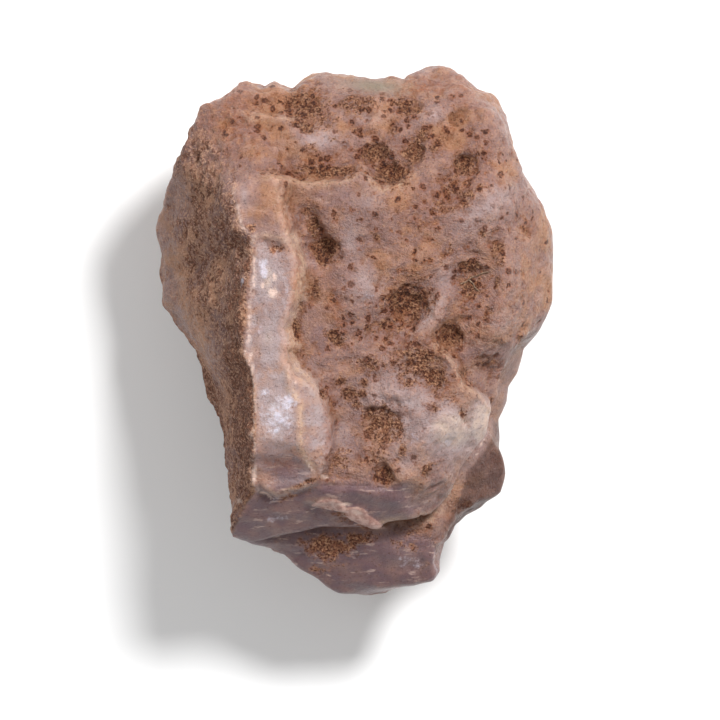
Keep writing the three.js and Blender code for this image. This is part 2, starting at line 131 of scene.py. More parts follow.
# Planes of the pale strip: the two sides of a low roof, the scallop at its foot, and its broad end
STRIP_PLANES = [
    dict(at=(-12, 0, STRIP_HEIGHT), rise=(0.2, -0.012), round=0.8),
    dict(at=(-9, 0, STRIP_HEIGHT + 0.3), rise=(-0.4, 0), round=0.8),
    dict(at=(-11, -17.8, STRIP_HEIGHT - 0.1), rise=(0.03, 0.52), round=0.4),
    dict(at=(0, 24.2, FACE_HEIGHT + 1.2), rise=(0, -0.75), round=1),
]

# Planes that cut the underside: the way each faces and its lean from straight down, in degrees, and how far
# its foot is from the middle of the rest spot. The first eight spread from the spot. The others are steep.
UNDER_PLANES = [
    (2, 33, 11), (50, 38, 12.5), (96, 27, 13.5), (141, 40, 12.5), (186, 35, 11.5), (230, 42, 12),
    (274, 25, 14.5), (318, 39, 12), (12, 66, 24.5), (62, 62, 31), (104, 64, 34), (152, 67, 27),
    (196, 64, 24), (243, 60, 27), (292, 63, 32), (336, 66, 24.5),
]

# Swells and hollows of the face: middle, half sizes, rise (below zero for a hollow), and turn in degrees
SWELLS = [
    (15, -15, 7.5, 7, 2.4, 20),  # whitish boss at the lower right
    (12, -23.5, 6, 3, 1.6),
    (6.5, -9.5, 3.5, 1.8, 0.7, 20),
    (2, 19.5, 6, 4, 1.4),
    (0.5, 7, 3.5, 4, 1.2, 20),
    (12.6, 2.6, 1.6, 5, 1.8, -30),  # bright ridge in the middle of the face
    (20.5, 20, 4, 7, 1.8, -55),  # smooth diagonal ridge
    (22.5, 32, 4, 6, 1.2, 20),
    (11, 11, 4, 2.6, 0.9, 20),
    (24, 10, 3, 8, 0.9),
    (-6, 30.5, 7, 2.4, 0.8),
    (13, 35.5, 6, 2, 0.8, 20),
    (14.5, 26.5, 5, 1.4, 0.7, 35),
    (22, 1, 3, 4, 0.9),
    (-4.9, 13, 1.9, 2.1, -2.6, 20),  # dark pit beside the strip
    (-6.6, 17, 2, 3.6, -1.7, 25),
    (5.4, 25.6, 2.6, 1.9, -2.4, -20),  # pits under the top terrace
    (3.2, 28.4, 2.4, 1.8, -1.7, 20),
    (9.4, 28.2, 1.8, 2.2, -1.6),
    (17.4, 27, 2.6, 2, -1.7),
    (15.5, 22, 5.5, 2.2, -1.1, 50),
    (18.4, 8.6, 3.2, 2.6, -1.6, 20),
    (8.6, 3.8, 3.4, 3.2, -2.6),  # large hollow in the middle
    (5.5, 0.4, 3, 2.6, -1.2),
    (15.2, -0.8, 1.7, 2, -1.6),
    (12.4, -7.4, 2.6, 2.6, -1.5),
    (4.4, -14.6, 3.3, 3, -1.9),
    (4.6, -22.6, 1.6, 2.2, -1.3),
    (-0.8, -14, 2.4, 8, -1.2),  # trough beside the shoulder
    (-2.4, -1.2, 2, 1.6, -0.9, -40),
    (-8, 36, 5, 1.4, -1),
    (-7.6, 33, 2, 1.2, -0.9),
    (9, 36, 2.4, 1.6, -1),
    (22.4, -4.6, 4, 2.4, -0.8),
    (22.8, 13.6, 1.2, 2, -0.7),
    (16.2, 34.2, 2, 1.2, -0.6, 20),
    (20.6, -6.6, 2.8, 2.4, -1.5),
    (-11, -21.6, 4, 2.6, -0.9),  # scallop at the foot of the strip
    (-12.4, 13.2, 1.8, 1, -0.3),
]

# Steps in the face: path, rise of its left side over its right, half width of the step, and reach
LEDGES = [
    # terrace above the strip
    ([(1.4, 26.8), (-0.4, 25), (-2, 24.2), (-5, 24), (-9, 24.2), (-15.5, 25.4)], 3, 0.3, 4),
    ([(10.5, 26.2), (7.4, 24.1), (4.6, 23.1), (3, 24.2), (1.2, 27)], 2.2, 0.3, 2.6),
    ([(-5.8, 33), (-10, 34.3), (-16, 34.6), (-18.6, 35.6)], 1.8, 0.3, 3),
    # edge of the boss
    ([
        (11.5, -0.5), (16.2, -4.4), (16.8, -6.2), (17.5, -8.2), (19.2, -9.1), (20.9, -10.3),
        (21.8, -12), (22.4, -15), (22.6, -18),
    ], -3.4, 0.3, 4.5),
    # chipped rim of the scallop, and the broad end of the strip
    ([(-15.6, -23), (-14.2, -25.2), (-12.2, -26.2), (-10, -25.4), (-5, -24)], 0.9, 0.25, 1.8),
    ([(-16.9, 13.6), (-14.8, 14.9), (-12, 14.4), (-8.4, 12.6)], 0.4, 0.4, 2),
    # shell that overlaps the bevel at the foot, and a step in the crest
    ([(-8.6, -27.2), (-3.2, -27), (-2.1, -28.8), (1.4, -30), (4.4, -31.6)], 0.9, 0.2, 2.2),
    ([(-23.5, -9), (-21, -10.6), (-19.6, -9.4), (-17.2, -4)], 1, 0.3, 2),
]

STRIP_EDGE_SLOPE = 1.95
STRIP_EDGE_HEIGHT = FACE_HEIGHT + 1.5
STRIP_EDGE_ROUND = 0.45
STRIP_FOOT_ROUND = 0.5

# Natural roughness: size of the lumps, how far they stand, and seed. The face is calmer, the rest spot flat.
ROUGHNESS = [(13, 0.70, 1), (6, 0.45, 2), (2.8, 0.22, 3)]
UNDER_LUMPS = dict(size=15, height=1.3, seed=6)
FACE_CALM = 0.6
FACE_STRETCH = (22, 32)
SPOT_FADE = (0, 5)
RELIEF_FADE = (22, 30)

# Patches seen from above, each with its middle, half sizes, strength and turn in degrees.
# Soil packed in hollows:
SOIL_PATCHES = [
    # top terrace
    (-7.6, 36.2, 2.6, 2.2, 1), (-7.8, 32.8, 1.8, 0.8, 1, -15), (-4.5, 33.6, 1.4, 1.2, 0.7, 30),
    (0.6, 36.3, 2.6, 1.4, 0.9), (1.4, 31.8, 2, 0.6, 0.7, -10), (8.4, 35.8, 1.9, 1.2, 1, -20),
    (6.5, 32.7, 0.8, 1.2, 0.8), (10.6, 31, 0.9, 1.9, 0.9, -40), (13.4, 30, 0.9, 1.8, 0.8, -35),
    (16.1, 34, 1, 0.9, 0.8, 30), (-14, 36.6, 3, 1.2, 0.5, 10), (-2, 30.8, 1.6, 0.5, 0.4, 10),
    # foot of the terrace
    (-4.5, 25.5, 4.4, 0.9, 1.1), (-5.4, 27.2, 1.8, 1.4, 0.6), (-6.7, 28.9, 0.8, 0.8, 0.7),
    (3.4, 28.3, 2.3, 1.4, 1.1, 15), (5.8, 25.3, 2.2, 1.5, 1.3, -10), (9.3, 28.2, 1.4, 1.7, 1.1, -30),
    (-12.5, 25.4, 1.8, 0.7, 0.6),
    # right of the face
    (17.4, 26.6, 1.8, 1.5, 1), (15.4, 23.2, 2.3, 1.6, 0.7, 45), (17.4, 21.4, 1.7, 1.1, 0.8, 45),
    (13.8, 19.8, 1.8, 1.2, 0.7, 30), (19.8, 22.8, 1.2, 0.9, 0.5), (10.2, 17, 1.5, 1, 0.5),
    (20.2, 16, 0.5, 0.8, 0.8), (22.5, 16, 0.6, 0.6, 0.6), (22.7, 13.1, 0.9, 1.4, 0.9),
    (23.2, 10.8, 0.7, 0.5, 0.6), (14.6, 12.7, 1.3, 0.8, 0.6, 30), (17.8, 13.2, 0.5, 0.5, 0.6),
    (12, 11.6, 0.8, 0.6, 0.6), (18.4, 10.3, 2, 0.9, 1), (18.2, 6.9, 1.7, 1.6, 1),
    (22.6, 8, 0.35, 0.7, 1.2, -20), (21.1, 2.5, 0.6, 1.1, 0.9), (26.6, 6, 0.6, 0.6, 0.6),
    (26.9, 9.6, 0.5, 0.5, 0.5), (26, 18.3, 0.5, 0.7, 0.6), (27.2, 16, 0.9, 1, 0.5),
    (15.4, -0.6, 1.3, 1.5, 1.1), (17.4, 3.2, 1, 1.2, 0.5), (26.5, -1.2, 0.5, 0.8, 0.7),
    (21.4, -4.8, 2.3, 1.1, 0.6, -15), (17.3, -6.4, 0.9, 0.8, 0.7), (18.8, 0.2, 0.5, 0.4, 0.6),
    # middle of the face
    (8.6, 4.4, 2.8, 2.5, 1.1), (5.6, 1.2, 2.4, 1.9, 0.7), (9.4, 8.2, 1.6, 1.6, 0.7, 20),
    (2.4, 0.5, 0.8, 0.8, 0.8), (-3.1, -1, 1.5, 0.9, 1, -30), (3.6, 15, 0.7, 0.9, 0.7, 20),
    (0.6, 19.5, 0.9, 0.7, 0.5), (-0.5, 19.4, 0.5, 0.7, 0.5), (6.8, 19.2, 0.6, 0.5, 0.5),
    (-4.6, 13, 1.6, 1.6, 1.5), (-6.2, 16.6, 1, 1.6, 1, 20), (-6.7, 19.4, 1.7, 1.4, 0.7),
    (-6.3, 6.7, 1.1, 1.4, 0.9), (0.2, 10, 0.6, 0.5, 0.5), (4.4, 10.4, 0.8, 0.7, 0.5),
    # lower part of the face
    (2.4, -5.2, 1.5, 1.2, 1), (1.6, -8, 0.6, 0.5, 1.2), (1.4, -9.7, 0.5, 0.6, 1.2),
    (-0.7, -9.9, 1.2, 0.9, 1), (-2.1, -7.8, 0.6, 0.5, 1.1), (0.4, -11.6, 0.7, 0.6, 0.8),
    (-4.9, -9.6, 0.5, 0.9, 0.9), (10, -4.4, 3.6, 2.6, 0.9), (12.8, -7.4, 1.6, 1.8, 1.1),
    (9, -8, 1.8, 0.8, 1), (12.7, -12, 1, 0.8, 0.8), (15, -10.2, 1.7, 1.1, 0.6, -30),
    (17.3, -13, 0.45, 1.6, 0.9, 25), (2.6, -13.3, 1.1, 1.1, 1.2), (6.9, -14.8, 0.7, 1.4, 1),
    (4.9, -16.9, 1.8, 0.8, 1), (4.6, -12.4, 1.6, 0.7, 0.9), (4.6, -14.6, 2.6, 2.4, 1.15),
    (7.6, -18.7, 0.6, 1, 1), (4.6, -22.4, 1.3, 1.3, 1.2), (3.2, -19.6, 3, 2.2, 0.5),
    (11.6, -22, 0.8, 0.9, 1), (12.9, -20.8, 1.3, 0.4, 0.7, 20), (-2.6, -20.5, 2.2, 1.8, 0.6),
    # pale strip
    (-12.6, 13.1, 1.2, 0.6, 1), (-9, 0.6, 0.5, 1.4, 1.1), (-8.3, 4, 0.5, 0.8, 0.9),
    (-16.9, 15.4, 0.9, 1.8, 1, -25), (-9.2, -3.2, 0.7, 0.4, 0.8), (-14.6, -4, 0.6, 1, 0.5),
    (-8.4, -24.2, 2.8, 0.45, 1, 22), (-15.4, 1.8, 0.6, 1.2, 0.7), (-12, 19, 0.8, 0.7, 0.5),
    # lower layer
    (-4, -34.2, 3.4, 1.8, 1.2), (0.2, -33, 3.4, 0.9, 1), (-5.8, -38.3, 2.2, 1, 0.8),
    (8.6, -33.2, 3.4, 2.2, 0.5), (-2, -28.8, 1, 0.5, 0.8), (17.4, -27.6, 1.8, 1.1, 1),
    (20.4, -26.4, 1.4, 1, 0.7), (18.8, -24.2, 0.9, 0.5, 0.7), (10.4, -36.4, 1.6, 1.6, 0.4),
]

# Rust stain in the skin
STAIN_PATCHES = [
    (11.5, 39, 5, 1.3, 1.2, 4), (17, 38, 3, 3, 0.8), (-21, 33, 7, 6, 1.1), (-14.5, 38, 6, 2, 0.7),
    (-8.9, 9, 0.9, 6.5, 0.9, -5), (-10.6, 19, 0.9, 4, 0.9, 8), (-2.9, 4.6, 1.1, 5, 1, 15),
    (-3.9, -13, 0.8, 6, 0.9), (21.4, -4.8, 3, 1.8, 0.6, -15), (19.5, 27.5, 5, 6, 0.6),
    (20, 3, 5.5, 5, 0.5), (12, 20, 5, 4, 0.5), (15.5, -8.5, 3.5, 3, 0.6), (9, -2, 4, 4, 0.5),
    (-3, 27.5, 5, 2, 0.6), (-9.6, -1.5, 0.8, 5, 0.6), (27.5, 12, 2.5, 10, 0.5),
    (-17.2, -18.5, 0.8, 7, 0.9), (14, -29.5, 4, 1.2, 0.7, -15), (2.2, -30.2, 4, 0.9, 0.6, -10),
    (22.2, -19.5, 0.8, 2, 0.9, 10), (-5.5, 12, 2.5, 3.5, 0.7), (-7, -26.9, 3, 0.7, 0.5, 5),
    (-12.4, -20.6, 2.8, 1, 0.6), (-14, 21, 2, 3, 0.45), (-2.4, -28.6, 1.2, 0.6, 1.2),
]

# Soil that thins out over the upper left and along the right edge
EARTH_PATCHES = [
    (-25, 27, 6, 8, 1), (-20.5, 21, 2.6, 6, 0.9, -20), (-23, 35, 5, 4, 0.6), (-16.8, 12, 0.9, 5, 0.8),
    (-13, 25.6, 3, 1.2, 0.5), (29.8, 14, 1.6, 12, 0.25), (-14, 37.6, 6, 1.8, 0.4),
]

# Where the skin is freckled
FRECKLE_PATCHES = [
    (8, 33, 17, 7, 1), (16, 20, 9, 9, 1), (20, 6, 7, 9, 0.9), (6, 2, 10, 9, 1), (4, -16, 7, 9, 0.9),
    (-5, 8, 3.5, 9, 0.6), (-16, 31, 7, 6, 0.8), (2, 16, 7, 6, 0.6), (9, -34, 5, 3, 0.5),
]

# Where the skin is smooth and waxy
CALM_PATCHES = [
    (27, 12, 6, 14, 1), (20.8, 19.5, 2.6, 8, 0.9, -55), (23, 31, 4, 6, 0.8, 20), (-2, 15, 4, 6, 0.6),
    (0.5, 7, 3, 4, 0.8), (16.5, -16, 6.5, 7.5, 1), (-5.5, 30.4, 4, 2.2, 0.8), (-0.8, -14, 3, 8, 0.6),
    (3, 39, 8, 1.4, 0.9),
]

# Milky white parts. On the boss, its right rim and the slope at (22.6, -4.4), the white is partly painted
# light, which brightens them where they turn from the lamp
PALE_PATCHES = [
    (-12.4, -12.5, 2.8, 5.5, 1), (-13.6, 8.5, 1.8, 4.5, 1.1), (-13.4, -1, 2.2, 4, 1),
    (-6, -12, 2, 7, 0.4), (15.5, -15.5, 6, 5, 1.3), (20.4, -14.5, 2.4, 4.5, 1.6),
    (4.2, -10.8, 2.6, 1.3, 0.8, 20), (8.4, -21, 2, 3, 0.6), (-5.5, 30.4, 3.6, 1.8, 0.8),
    (1.5, 7.4, 2.4, 3.2, 0.7, 10), (12.4, 2.6, 1.1, 4.2, 1, -30), (20.8, 19.5, 2.2, 6, 0.8, -55),
    (12.6, 34.4, 2.4, 1.2, 0.7, 20), (3, 33.8, 2, 1, 0.5), (2.2, 21, 3, 2, 0.5, 20),
    (-0.5, 14.5, 1.8, 3.6, 0.6), (14.6, 8.2, 2, 2.2, 0.6), (25, 33, 2, 4, 0.3, 20),
    (-17.3, 21.5, 0.6, 1.6, 0.8), (22.8, 1.6, 2, 2, 0.5), (22.6, -4.4, 3, 3, 0.3), (8, -12, 7, 8, 0.85),
    (-1.6, -16, 2, 5, 0.5), (8, -35, 4.5, 2.8, 0.5, -20),
]

# Clean grey lilac stone, where the skin has broken away
GREY_PATCHES = [
    (-0.8, -15, 2.6, 6, 0.4), (-7.2, 11.4, 1.5, 4, 0.7, 35), (3, -27.5, 14, 2.6, 1),
    (-11, -30, 8, 3.6, 1, 8), (4, -37.5, 12, 4.6, 1), (-11, -21.6, 3.6, 2.6, 1), (20.5, -9, 3, 3, 0.15),
    (-4.5, 21.5, 5, 2, 0.6), (-5.6, 1.5, 1.8, 3.5, 0.6), (18.6, -3, 3, 1.8, 0.25),
]

# Bluish, translucent spots: partly chips, partly painted reflections of the light
CHIPS_AND_GLINTS = [
    (-14.2, 10, 0.9, 1.9, 1), (-10.4, -11.1, 1.5, 1.7, 1), (-14.2, -9.4, 0.9, 0.8, 0.8),
    (-17.4, 8.1, 0.4, 1.4, 0.9, -20), (3.9, -11.2, 0.6, 0.3, 0.9), (-1.6, 7.4, 0.35, 0.35, 1),
    (-12.2, -13.4, 3, 4.2, 0.75), (-12.6, -26.8, 1.4, 0.5, 0.6, 20), (-14.6, 1, 1.2, 2.6, 0.5),
    (15, -17, 2.4, 2, 0.45), (-10.4, 7, 1, 3, 0.5), (9.4, -16.4, 1.6, 2.4, 0.45),
    (2.4, 5.4, 1.8, 1.4, 0.45), (9, -37, 3.2, 2, 0.6, -15), (-12, -29.4, 2.6, 1.2, 0.5, 10),
]

# Pinkish cream chips, partly painted highlights where edges catch the light
WARM_CHIPS_AND_GLINTS = [
    (-14.4, 7.4, 0.6, 0.8, 1), (-12.8, 6.2, 1, 1, 1.1, 30), (-12.5, 8.8, 0.5, 1, 1),
    (-16.3, -3.6, 0.4, 1.7, 0.9, -12), (-16.1, -5.8, 0.5, 1.2, 0.9), (-21.6, -10.3, 1.3, 0.5, 0.9, 10),
    (-18.5, -26.8, 0.6, 0.5, 1), (-15.8, -22.6, 0.5, 1.6, 1.1, -8), (-13.9, -25.9, 1.4, 0.4, 1.1, -35),
    (-7, -21, 0.35, 2.2, 1, 32), (0.4, -28.4, 1.2, 0.6, 1, -20), (19.6, -19.6, 0.6, 0.3, 0.8, 40),
    (-4.1, -38.8, 1.3, 0.3, 0.8, -20), (-1.4, -27.2, 1.6, 0.3, 1.2, -8), (-19.4, -30.6, 0.9, 0.4, 0.9),
    (21.9, -14, 0.5, 1.6, 0.8, 5), (20.4, -17.8, 1.8, 0.3, 0.8, 60), (-9.4, -8, 0.4, 0.7, 0.8),
    (-4.6, -22.9, 0.7, 0.5, 1),
]

# Outline of the pinkish flake on the bevel at the foot
FLAKE = [
    (-6.8, -27.4), (-5.4, -26.5), (-3, -26.3), (-1.8, -26.9), (-1.3, -27.8), (0.6, -27.5), (1.8, -28.1),
    (2.3, -29), (3.3, -29.7), (5.3, -31.2), (3.6, -31.3), (1.8, -30.6), (0.3, -30), (-0.8, -29.4),
    (-1.6, -28.5), (-2.6, -28.2), (-3.9, -28), (-5.4, -27.7),
]

# Small step inside the lower strip
INNER_STEP = [(-9.4, -3.0), (-9.9, -5.5), (-9.8, -8.6), (-8.1, -11.2), (-8.0, -18.0), (-5.4, -22.8)]

# Rootlet over the hollow on the right: the way of its fibre and branch, how high it lies, and its radius
ROOTLET_ROUTES = [
    [(16.8, 7.6), (17.8, 8), (18.6, 8.7), (19.5, 8.9), (20.4, 9.4), (21.4, 9.5)],
    [(18.2, 8.3), (18.9, 7.7), (19.2, 7), (19.8, 6.5)],
]
ROOTLET_LIFT = 0.08
ROOTLET_RADIUS = 0.13

# Half width of the lines of colour along a step in the face
STEP_LINE = 0.55

# Fine relief: how far each kind stands, or how deep it is
FLAKE_RISE = 0.34
INNER_RIM_RISE = 0.22
RIB_RISE = 0.05
KNOB_RISE = 0.30
CLOD_RISE = 0.65
PIT_DEPTH = 0.34
DIRT_DEPTH = 0.28
CHIP_DEPTH = 0.15

# Heights over which the face gives way to the soiled sides, and the same at the foot of the stone
FACE_STARTS = (21, 27)
LOW_FACE_STARTS = (15, 20)

# Stretches of y over which the pale strip begins and ends
STRIP_FOOT = (-27, -24)
STRIP_TOP = (26, 23)

# Mesh, and the grid of the maps seen from above
MESH_PITCH = 0.43
SETTLE_ROUNDS = 3
SETTLE_STEP = 0.6
PLAN_LOW = (-36.0, -47.0)
PLAN_HIGH = (36.0, 47.0)
PLAN_PITCH = 0.12

# Camera, floor and light
VIEW_MIDDLE = (0.96, -4.4)
VIEW_WIDTH = 115.2
VIEW_LEVEL = 20
CAMERA_HEIGHT = 1500
SENSOR_WIDTH = 36
FLOOR_HALF = 3000
WORLD_LIGHT = 0.38
LIGHTS = [
    dict(name="key", place=(330, 420, 640), size=220, power=9.5),
    dict(name="fill", place=(-480, 120, 560), size=400, power=1.5),
]


def smoothstep(low, high, value):
    t = np.clip((value - low) / (high - low), 0, 1)
    return t * t * (3 - 2 * t)


def hashed(ix, iy, iz, seed):
    """Values from -1 to 1, one for each lattice point."""
    h = ix.astype(np.uint32) * np.uint32(374761393) + iy.astype(np.uint32) * np.uint32(668265263)
    h = h + iz.astype(np.uint32) * np.uint32(1440662683) + np.uint32(seed * 974634777 % 2**32)
    h = (h ^ (h >> np.uint32(13))) * np.uint32(1274126177)
    h = (h ^ (h >> np.uint32(16))) * np.uint32(2246822519)
    return (h ^ (h >> np.uint32(15))) / 2147483648.0 - 1.0


def noise(x, y, z, size, seed):
    """Smooth noise from -1 to 1, with lumps of a given size."""
    place = [x / size, y / size, z / size]
    cell = [np.floor(v).astype(np.int64) for v in place]
    part = [v - c for v, c in zip(place, cell)]
    ease = [f * f * f * (f * (f * 6 - 15) + 10) for f in part]
    total = 0.0
    for corner in range(8):
        step = [corner & 1, (corner >> 1) & 1, (corner >> 2) & 1]
        share = 1.0
        for s, e in zip(step, ease):
            share = share * (e if s else 1 - e)
        total = total + share * hashed(cell[0] + step[0], cell[1] + step[1], cell[2] + step[2], seed)
    return total


def round_max(a, b, rounding):
    share = np.clip(0.5 + 0.5 * (a - b) / rounding, 0, 1)
    return b + (a - b) * share + rounding * share * (1 - share)


def round_min(a, b, rounding):
    return -round_max(-a, -b, rounding)


def over_plane(x, y, z, plane):
    at, rise = plane["at"], plane["rise"]
    height = at[2] + rise[0] * (x - at[0]) + rise[1] * (y - at[1])
    return (z - height) / math.hypot(1, rise[0], rise[1])


def under_planes(planes, x, y, z):
    body = over_plane(x, y, z, planes[0])
    for plane in planes[1:]:
        body = round_max(body, over_plane(x, y, z, plane), plane["round"])
    return body


def from_path(path, x, y, taper=3.0):
    """Offset from an open path, above zero on its left, the distance from it, and a fade at both ends."""
    away = np.full(x.shape, 1e9)
    side = np.zeros(x.shape)
    along = np.zeros(x.shape)
    run = 0.0
    for (ax, ay), (bx, by) in zip(path[:-1], path[1:]):
        ex, ey = bx - ax, by - ay
        length = math.hypot(ex, ey)
        t = np.clip(((x - ax) * ex + (y - ay) * ey) / length**2, 0, 1)
        distance = np.hypot(x - ax - t * ex, y - ay - t * ey)
        near = distance < away - 1e-9
        away = np.where(near, distance, away)
        side = np.where(near, np.sign(ex * (y - ay) - ey * (x - ax)) * distance, side)
        along = np.where(near, run + t * length, along)
        run += length
    return side, away, smoothstep(0, taper, along) * smoothstep(0, taper, run - along)


def from_outline(outline, x, y):
    """Distance to a closed outline, below zero inside it."""
    away = np.full(x.shape, 1e9)
    inside = np.zeros(x.shape, bool)
    for (ax, ay), (bx, by) in zip(outline, outline[1:] + outline[:1]):
        ex, ey = bx - ax, by - ay
        t = np.clip(((x - ax) * ex + (y - ay) * ey) / (ex * ex + ey * ey), 0, 1)
        away = np.minimum(away, np.hypot(x - ax - t * ex, y - ay - t * ey))
        if ey:
            inside ^= ((ay > y) != (by > y)) & (x < ax + ex * (y - ay) / ey)
    return np.where(inside, -away, away)


def bump(x, y, at, half, turn=0):
    """A round bump of height 1."""
    c, s = math.cos(math.radians(turn)), math.sin(math.radians(turn))
    u = ((x - at[0]) * c + (y - at[1]) * s) / half[0]
    v = ((y - at[1]) * c - (x - at[0]) * s) / half[1]
    return np.exp(-(u * u + v * v))


def beside(offset, place, half):
    """1 where an offset has a given value, and less away from it."""
    return np.exp(-((offset - place) / half) ** 2)


def relief(x, y):
    total = np.zeros(x.shape)
    for at_x, at_y, half_x, half_y, rise, *turn in SWELLS:
        total += rise * bump(x, y, (at_x, at_y), (half_x, half_y), *turn)
    for path, rise, width, reach in LEDGES:
        side, away, fade = from_path(path, x, y)
        total += 0.5 * rise * np.tanh(side / width) * np.exp(-away / reach) * fade
    return total


def patches(table, x, y, spread=1.0):
    """How strongly a table of patches covers each point, from 0 to about 1."""
    total = np.zeros(x.shape)
    for at_x, at_y, half_x, half_y, strength, *turn in table:
        half = (half_x * spread, half_y * spread)
        total = np.maximum(total, strength * bump(x, y, (at_x, at_y), half, *turn))
    return total


def step_side(path, rise, place):
    """A function of x and y that is 1 along a step in the face, at a place across it, above zero uphill."""
    def share(x, y):
        side, _, fade = from_path(path, x, y)
        return fade * beside(side * np.sign(rise), place, STEP_LINE)
    return share


def steps_side(place):
    """The same for all the steps in the face, as a function of x and y."""
    return lambda x, y: np.max([step_side(path, rise, place)(x, y) for path, rise, _, _ in LEDGES], axis=0)


class PlanMap:
    """A function of x and y, worked out once on a grid and read between its points."""

    def __init__(self, make):
        xs = np.arange(PLAN_LOW[0], PLAN_HIGH[0] + PLAN_PITCH, PLAN_PITCH)
        ys = np.arange(PLAN_LOW[1], PLAN_HIGH[1] + PLAN_PITCH, PLAN_PITCH)
        self.values = make(*np.meshgrid(xs, ys, indexing="ij"))

    def __call__(self, x, y):
        u = np.clip((x - PLAN_LOW[0]) / PLAN_PITCH, 0, self.values.shape[0] - 1.001)
        v = np.clip((y - PLAN_LOW[1]) / PLAN_PITCH, 0, self.values.shape[1] - 1.001)
        i, j = u.astype(int), v.astype(int)
        fu, fv = u - i, v - j
        near = self.values[i, j] * (1 - fv) + self.values[i, j + 1] * fv
        far = self.values[i + 1, j] * (1 - fv) + self.values[i + 1, j + 1] * fv
        return near * (1 - fu) + far * fu


silhouette_map = PlanMap(lambda x, y: from_outline(SILHOUETTE, x, y))
relief_map = PlanMap(relief)
front_map = PlanMap(lambda x, y: from_path(FRONT_EDGE, x, y)[0])
crest_map = PlanMap(lambda x, y: from_path(CREST, x, y)[0])
strip_map = PlanMap(lambda x, y: from_path(STRIP_EDGE, x, y)[0])
# painted highlight along the uphill lip of each step
step_lip_highlight_map = PlanMap(steps_side(0.45))
step_foot_map = PlanMap(steps_side(-0.6))
flake_map = PlanMap(lambda x, y: from_outline(FLAKE, x, y))
inner_rim_map = PlanMap(step_side(INNER_STEP, -1, 0.4))


def strip(x, y, z):
    out = strip_map(x, y) * STRIP_EDGE_SLOPE + z - STRIP_EDGE_HEIGHT
    edge = out / math.hypot(1, STRIP_EDGE_SLOPE)
    return round_max(under_planes(STRIP_PLANES, x, y, z), edge, STRIP_EDGE_ROUND)


def flank(x, y, z):
    slope = FLANK_SLOPE["least"] + FLANK_SLOPE["more"] * smoothstep(*FLANK_SLOPE["stretch"], y)
    crest = FLANK_HEIGHT
    for sink in CREST_SINK:
        crest = crest - sink["depth"] * smoothstep(*sink["stretch"], y)
    return (z - crest - crest_map(x, y) * slope) / np.hypot(1, slope)


def front_layer(x, y, z):
    face = round_max(over_plane(x, y, z, FACE), over_plane(x, y, z, FALL_BACK), FALL_BACK["round"])
    body = round_min(face, strip(x, y, z), STRIP_FOOT_ROUND)
    for plane in FRONT_PLANES:
        body = round_max(body, over_plane(x, y, z, plane), plane["round"])
    body = body - relief_map(x, y) * smoothstep(*RELIEF_FADE, z)
    edge = front_map(x, y) + UNDERCUT * np.maximum(0, OVERHANG - z)
    return round_max(body, edge / math.hypot(1, UNDERCUT), 0.6)


def underside(x, y, z):
    body = -z
    for facing, lean, foot in UNDER_PLANES:
        angle, tilt = math.radians(facing), math.radians(lean)
        out = (x - REST_SPOT[0]) * math.cos(angle) + (y - REST_SPOT[1]) * math.sin(angle) - foot
        body = round_max(body, out * math.sin(tilt) - z * math.cos(tilt), 1.0)
    lumps = UNDER_LUMPS["height"] * noise(x, y, z, UNDER_LUMPS["size"], UNDER_LUMPS["seed"])
    return body + lumps * smoothstep(*SPOT_FADE, z)


def sides(x, y, z):
    rise = z - WAIST_HEIGHT - WAIST_RISE[0] * x - WAIST_RISE[1] * y
    drift = SIDE_DRIFT * np.clip(rise, -DRIFT_REACH, DRIFT_REACH)
    across_x = x + drift * noise(x, y, z, DRIFT_SIZE, 4)
    across_y = y + drift * noise(x, y, z, DRIFT_SIZE, 5)
    return silhouette_map(across_x, across_y) - EDGE_LOSS + WAIST_TAPER * np.abs(rise)


def stone(x, y, z):
    """The whole stone, below zero inside."""
    body = round_min(front_layer(x, y, z), under_planes(BACK_PLANES, x, y, z), 0.35)
    rounding = CREST_ROUND["least"] + CREST_ROUND["more"] * smoothstep(*CREST_ROUND["stretch"], y)
    body = round_max(body, flank(x, y, z), rounding)
    body = round_max(body, sides(x, y, z), 0.9)
    body = round_max(body, underside(x, y, z), 1.0)
    share = (1 - FACE_CALM * smoothstep(*FACE_STRETCH, z)) * smoothstep(*SPOT_FADE, z)
    for size, height, seed in ROUGHNESS:
        body = body - share * height * noise(x, y, z, size, seed)
    return np.maximum(body, -z)


def slope_of(field, points, reach=0.05):
    slope = np.empty_like(points)
    for axis in range(3):
        ahead, behind = points.copy(), points.copy()
        ahead[:, axis] += reach
        behind[:, axis] -= reach
        slope[:, axis] = (field(*ahead.T) - field(*behind.T)) / (2 * reach)
    return slope


def settle(field, points, rounds, longest):
    """Moves points onto the field's zero surface along the steepest way."""
    for _ in range(rounds):
        slope = slope_of(field, points)
        move = slope * (-field(*points.T) / np.maximum((slope**2).sum(axis=1), 0.25))[:, None]
        length = np.linalg.norm(move, axis=1)
        points = points + move * np.minimum(1, longest / np.maximum(length, 1e-9))[:, None]
    return points


# The fine surface

def perlin(points, size, offset):
    """Smooth noise from -1 to 1 without a grain, one value for each point."""
    return np.array([fine_noise.noise(Vector(p)) for p in points / size + offset])


def rounded(points, size, offset):
    """Rounded lumps with creases between them, from 0 in a crease to 1 on top."""
    near = np.array([fine_noise.voronoi(Vector(p))[0][:2] for p in points / size + offset])
    return smoothstep(0.0, 0.45, near[:, 1] - near[:, 0])


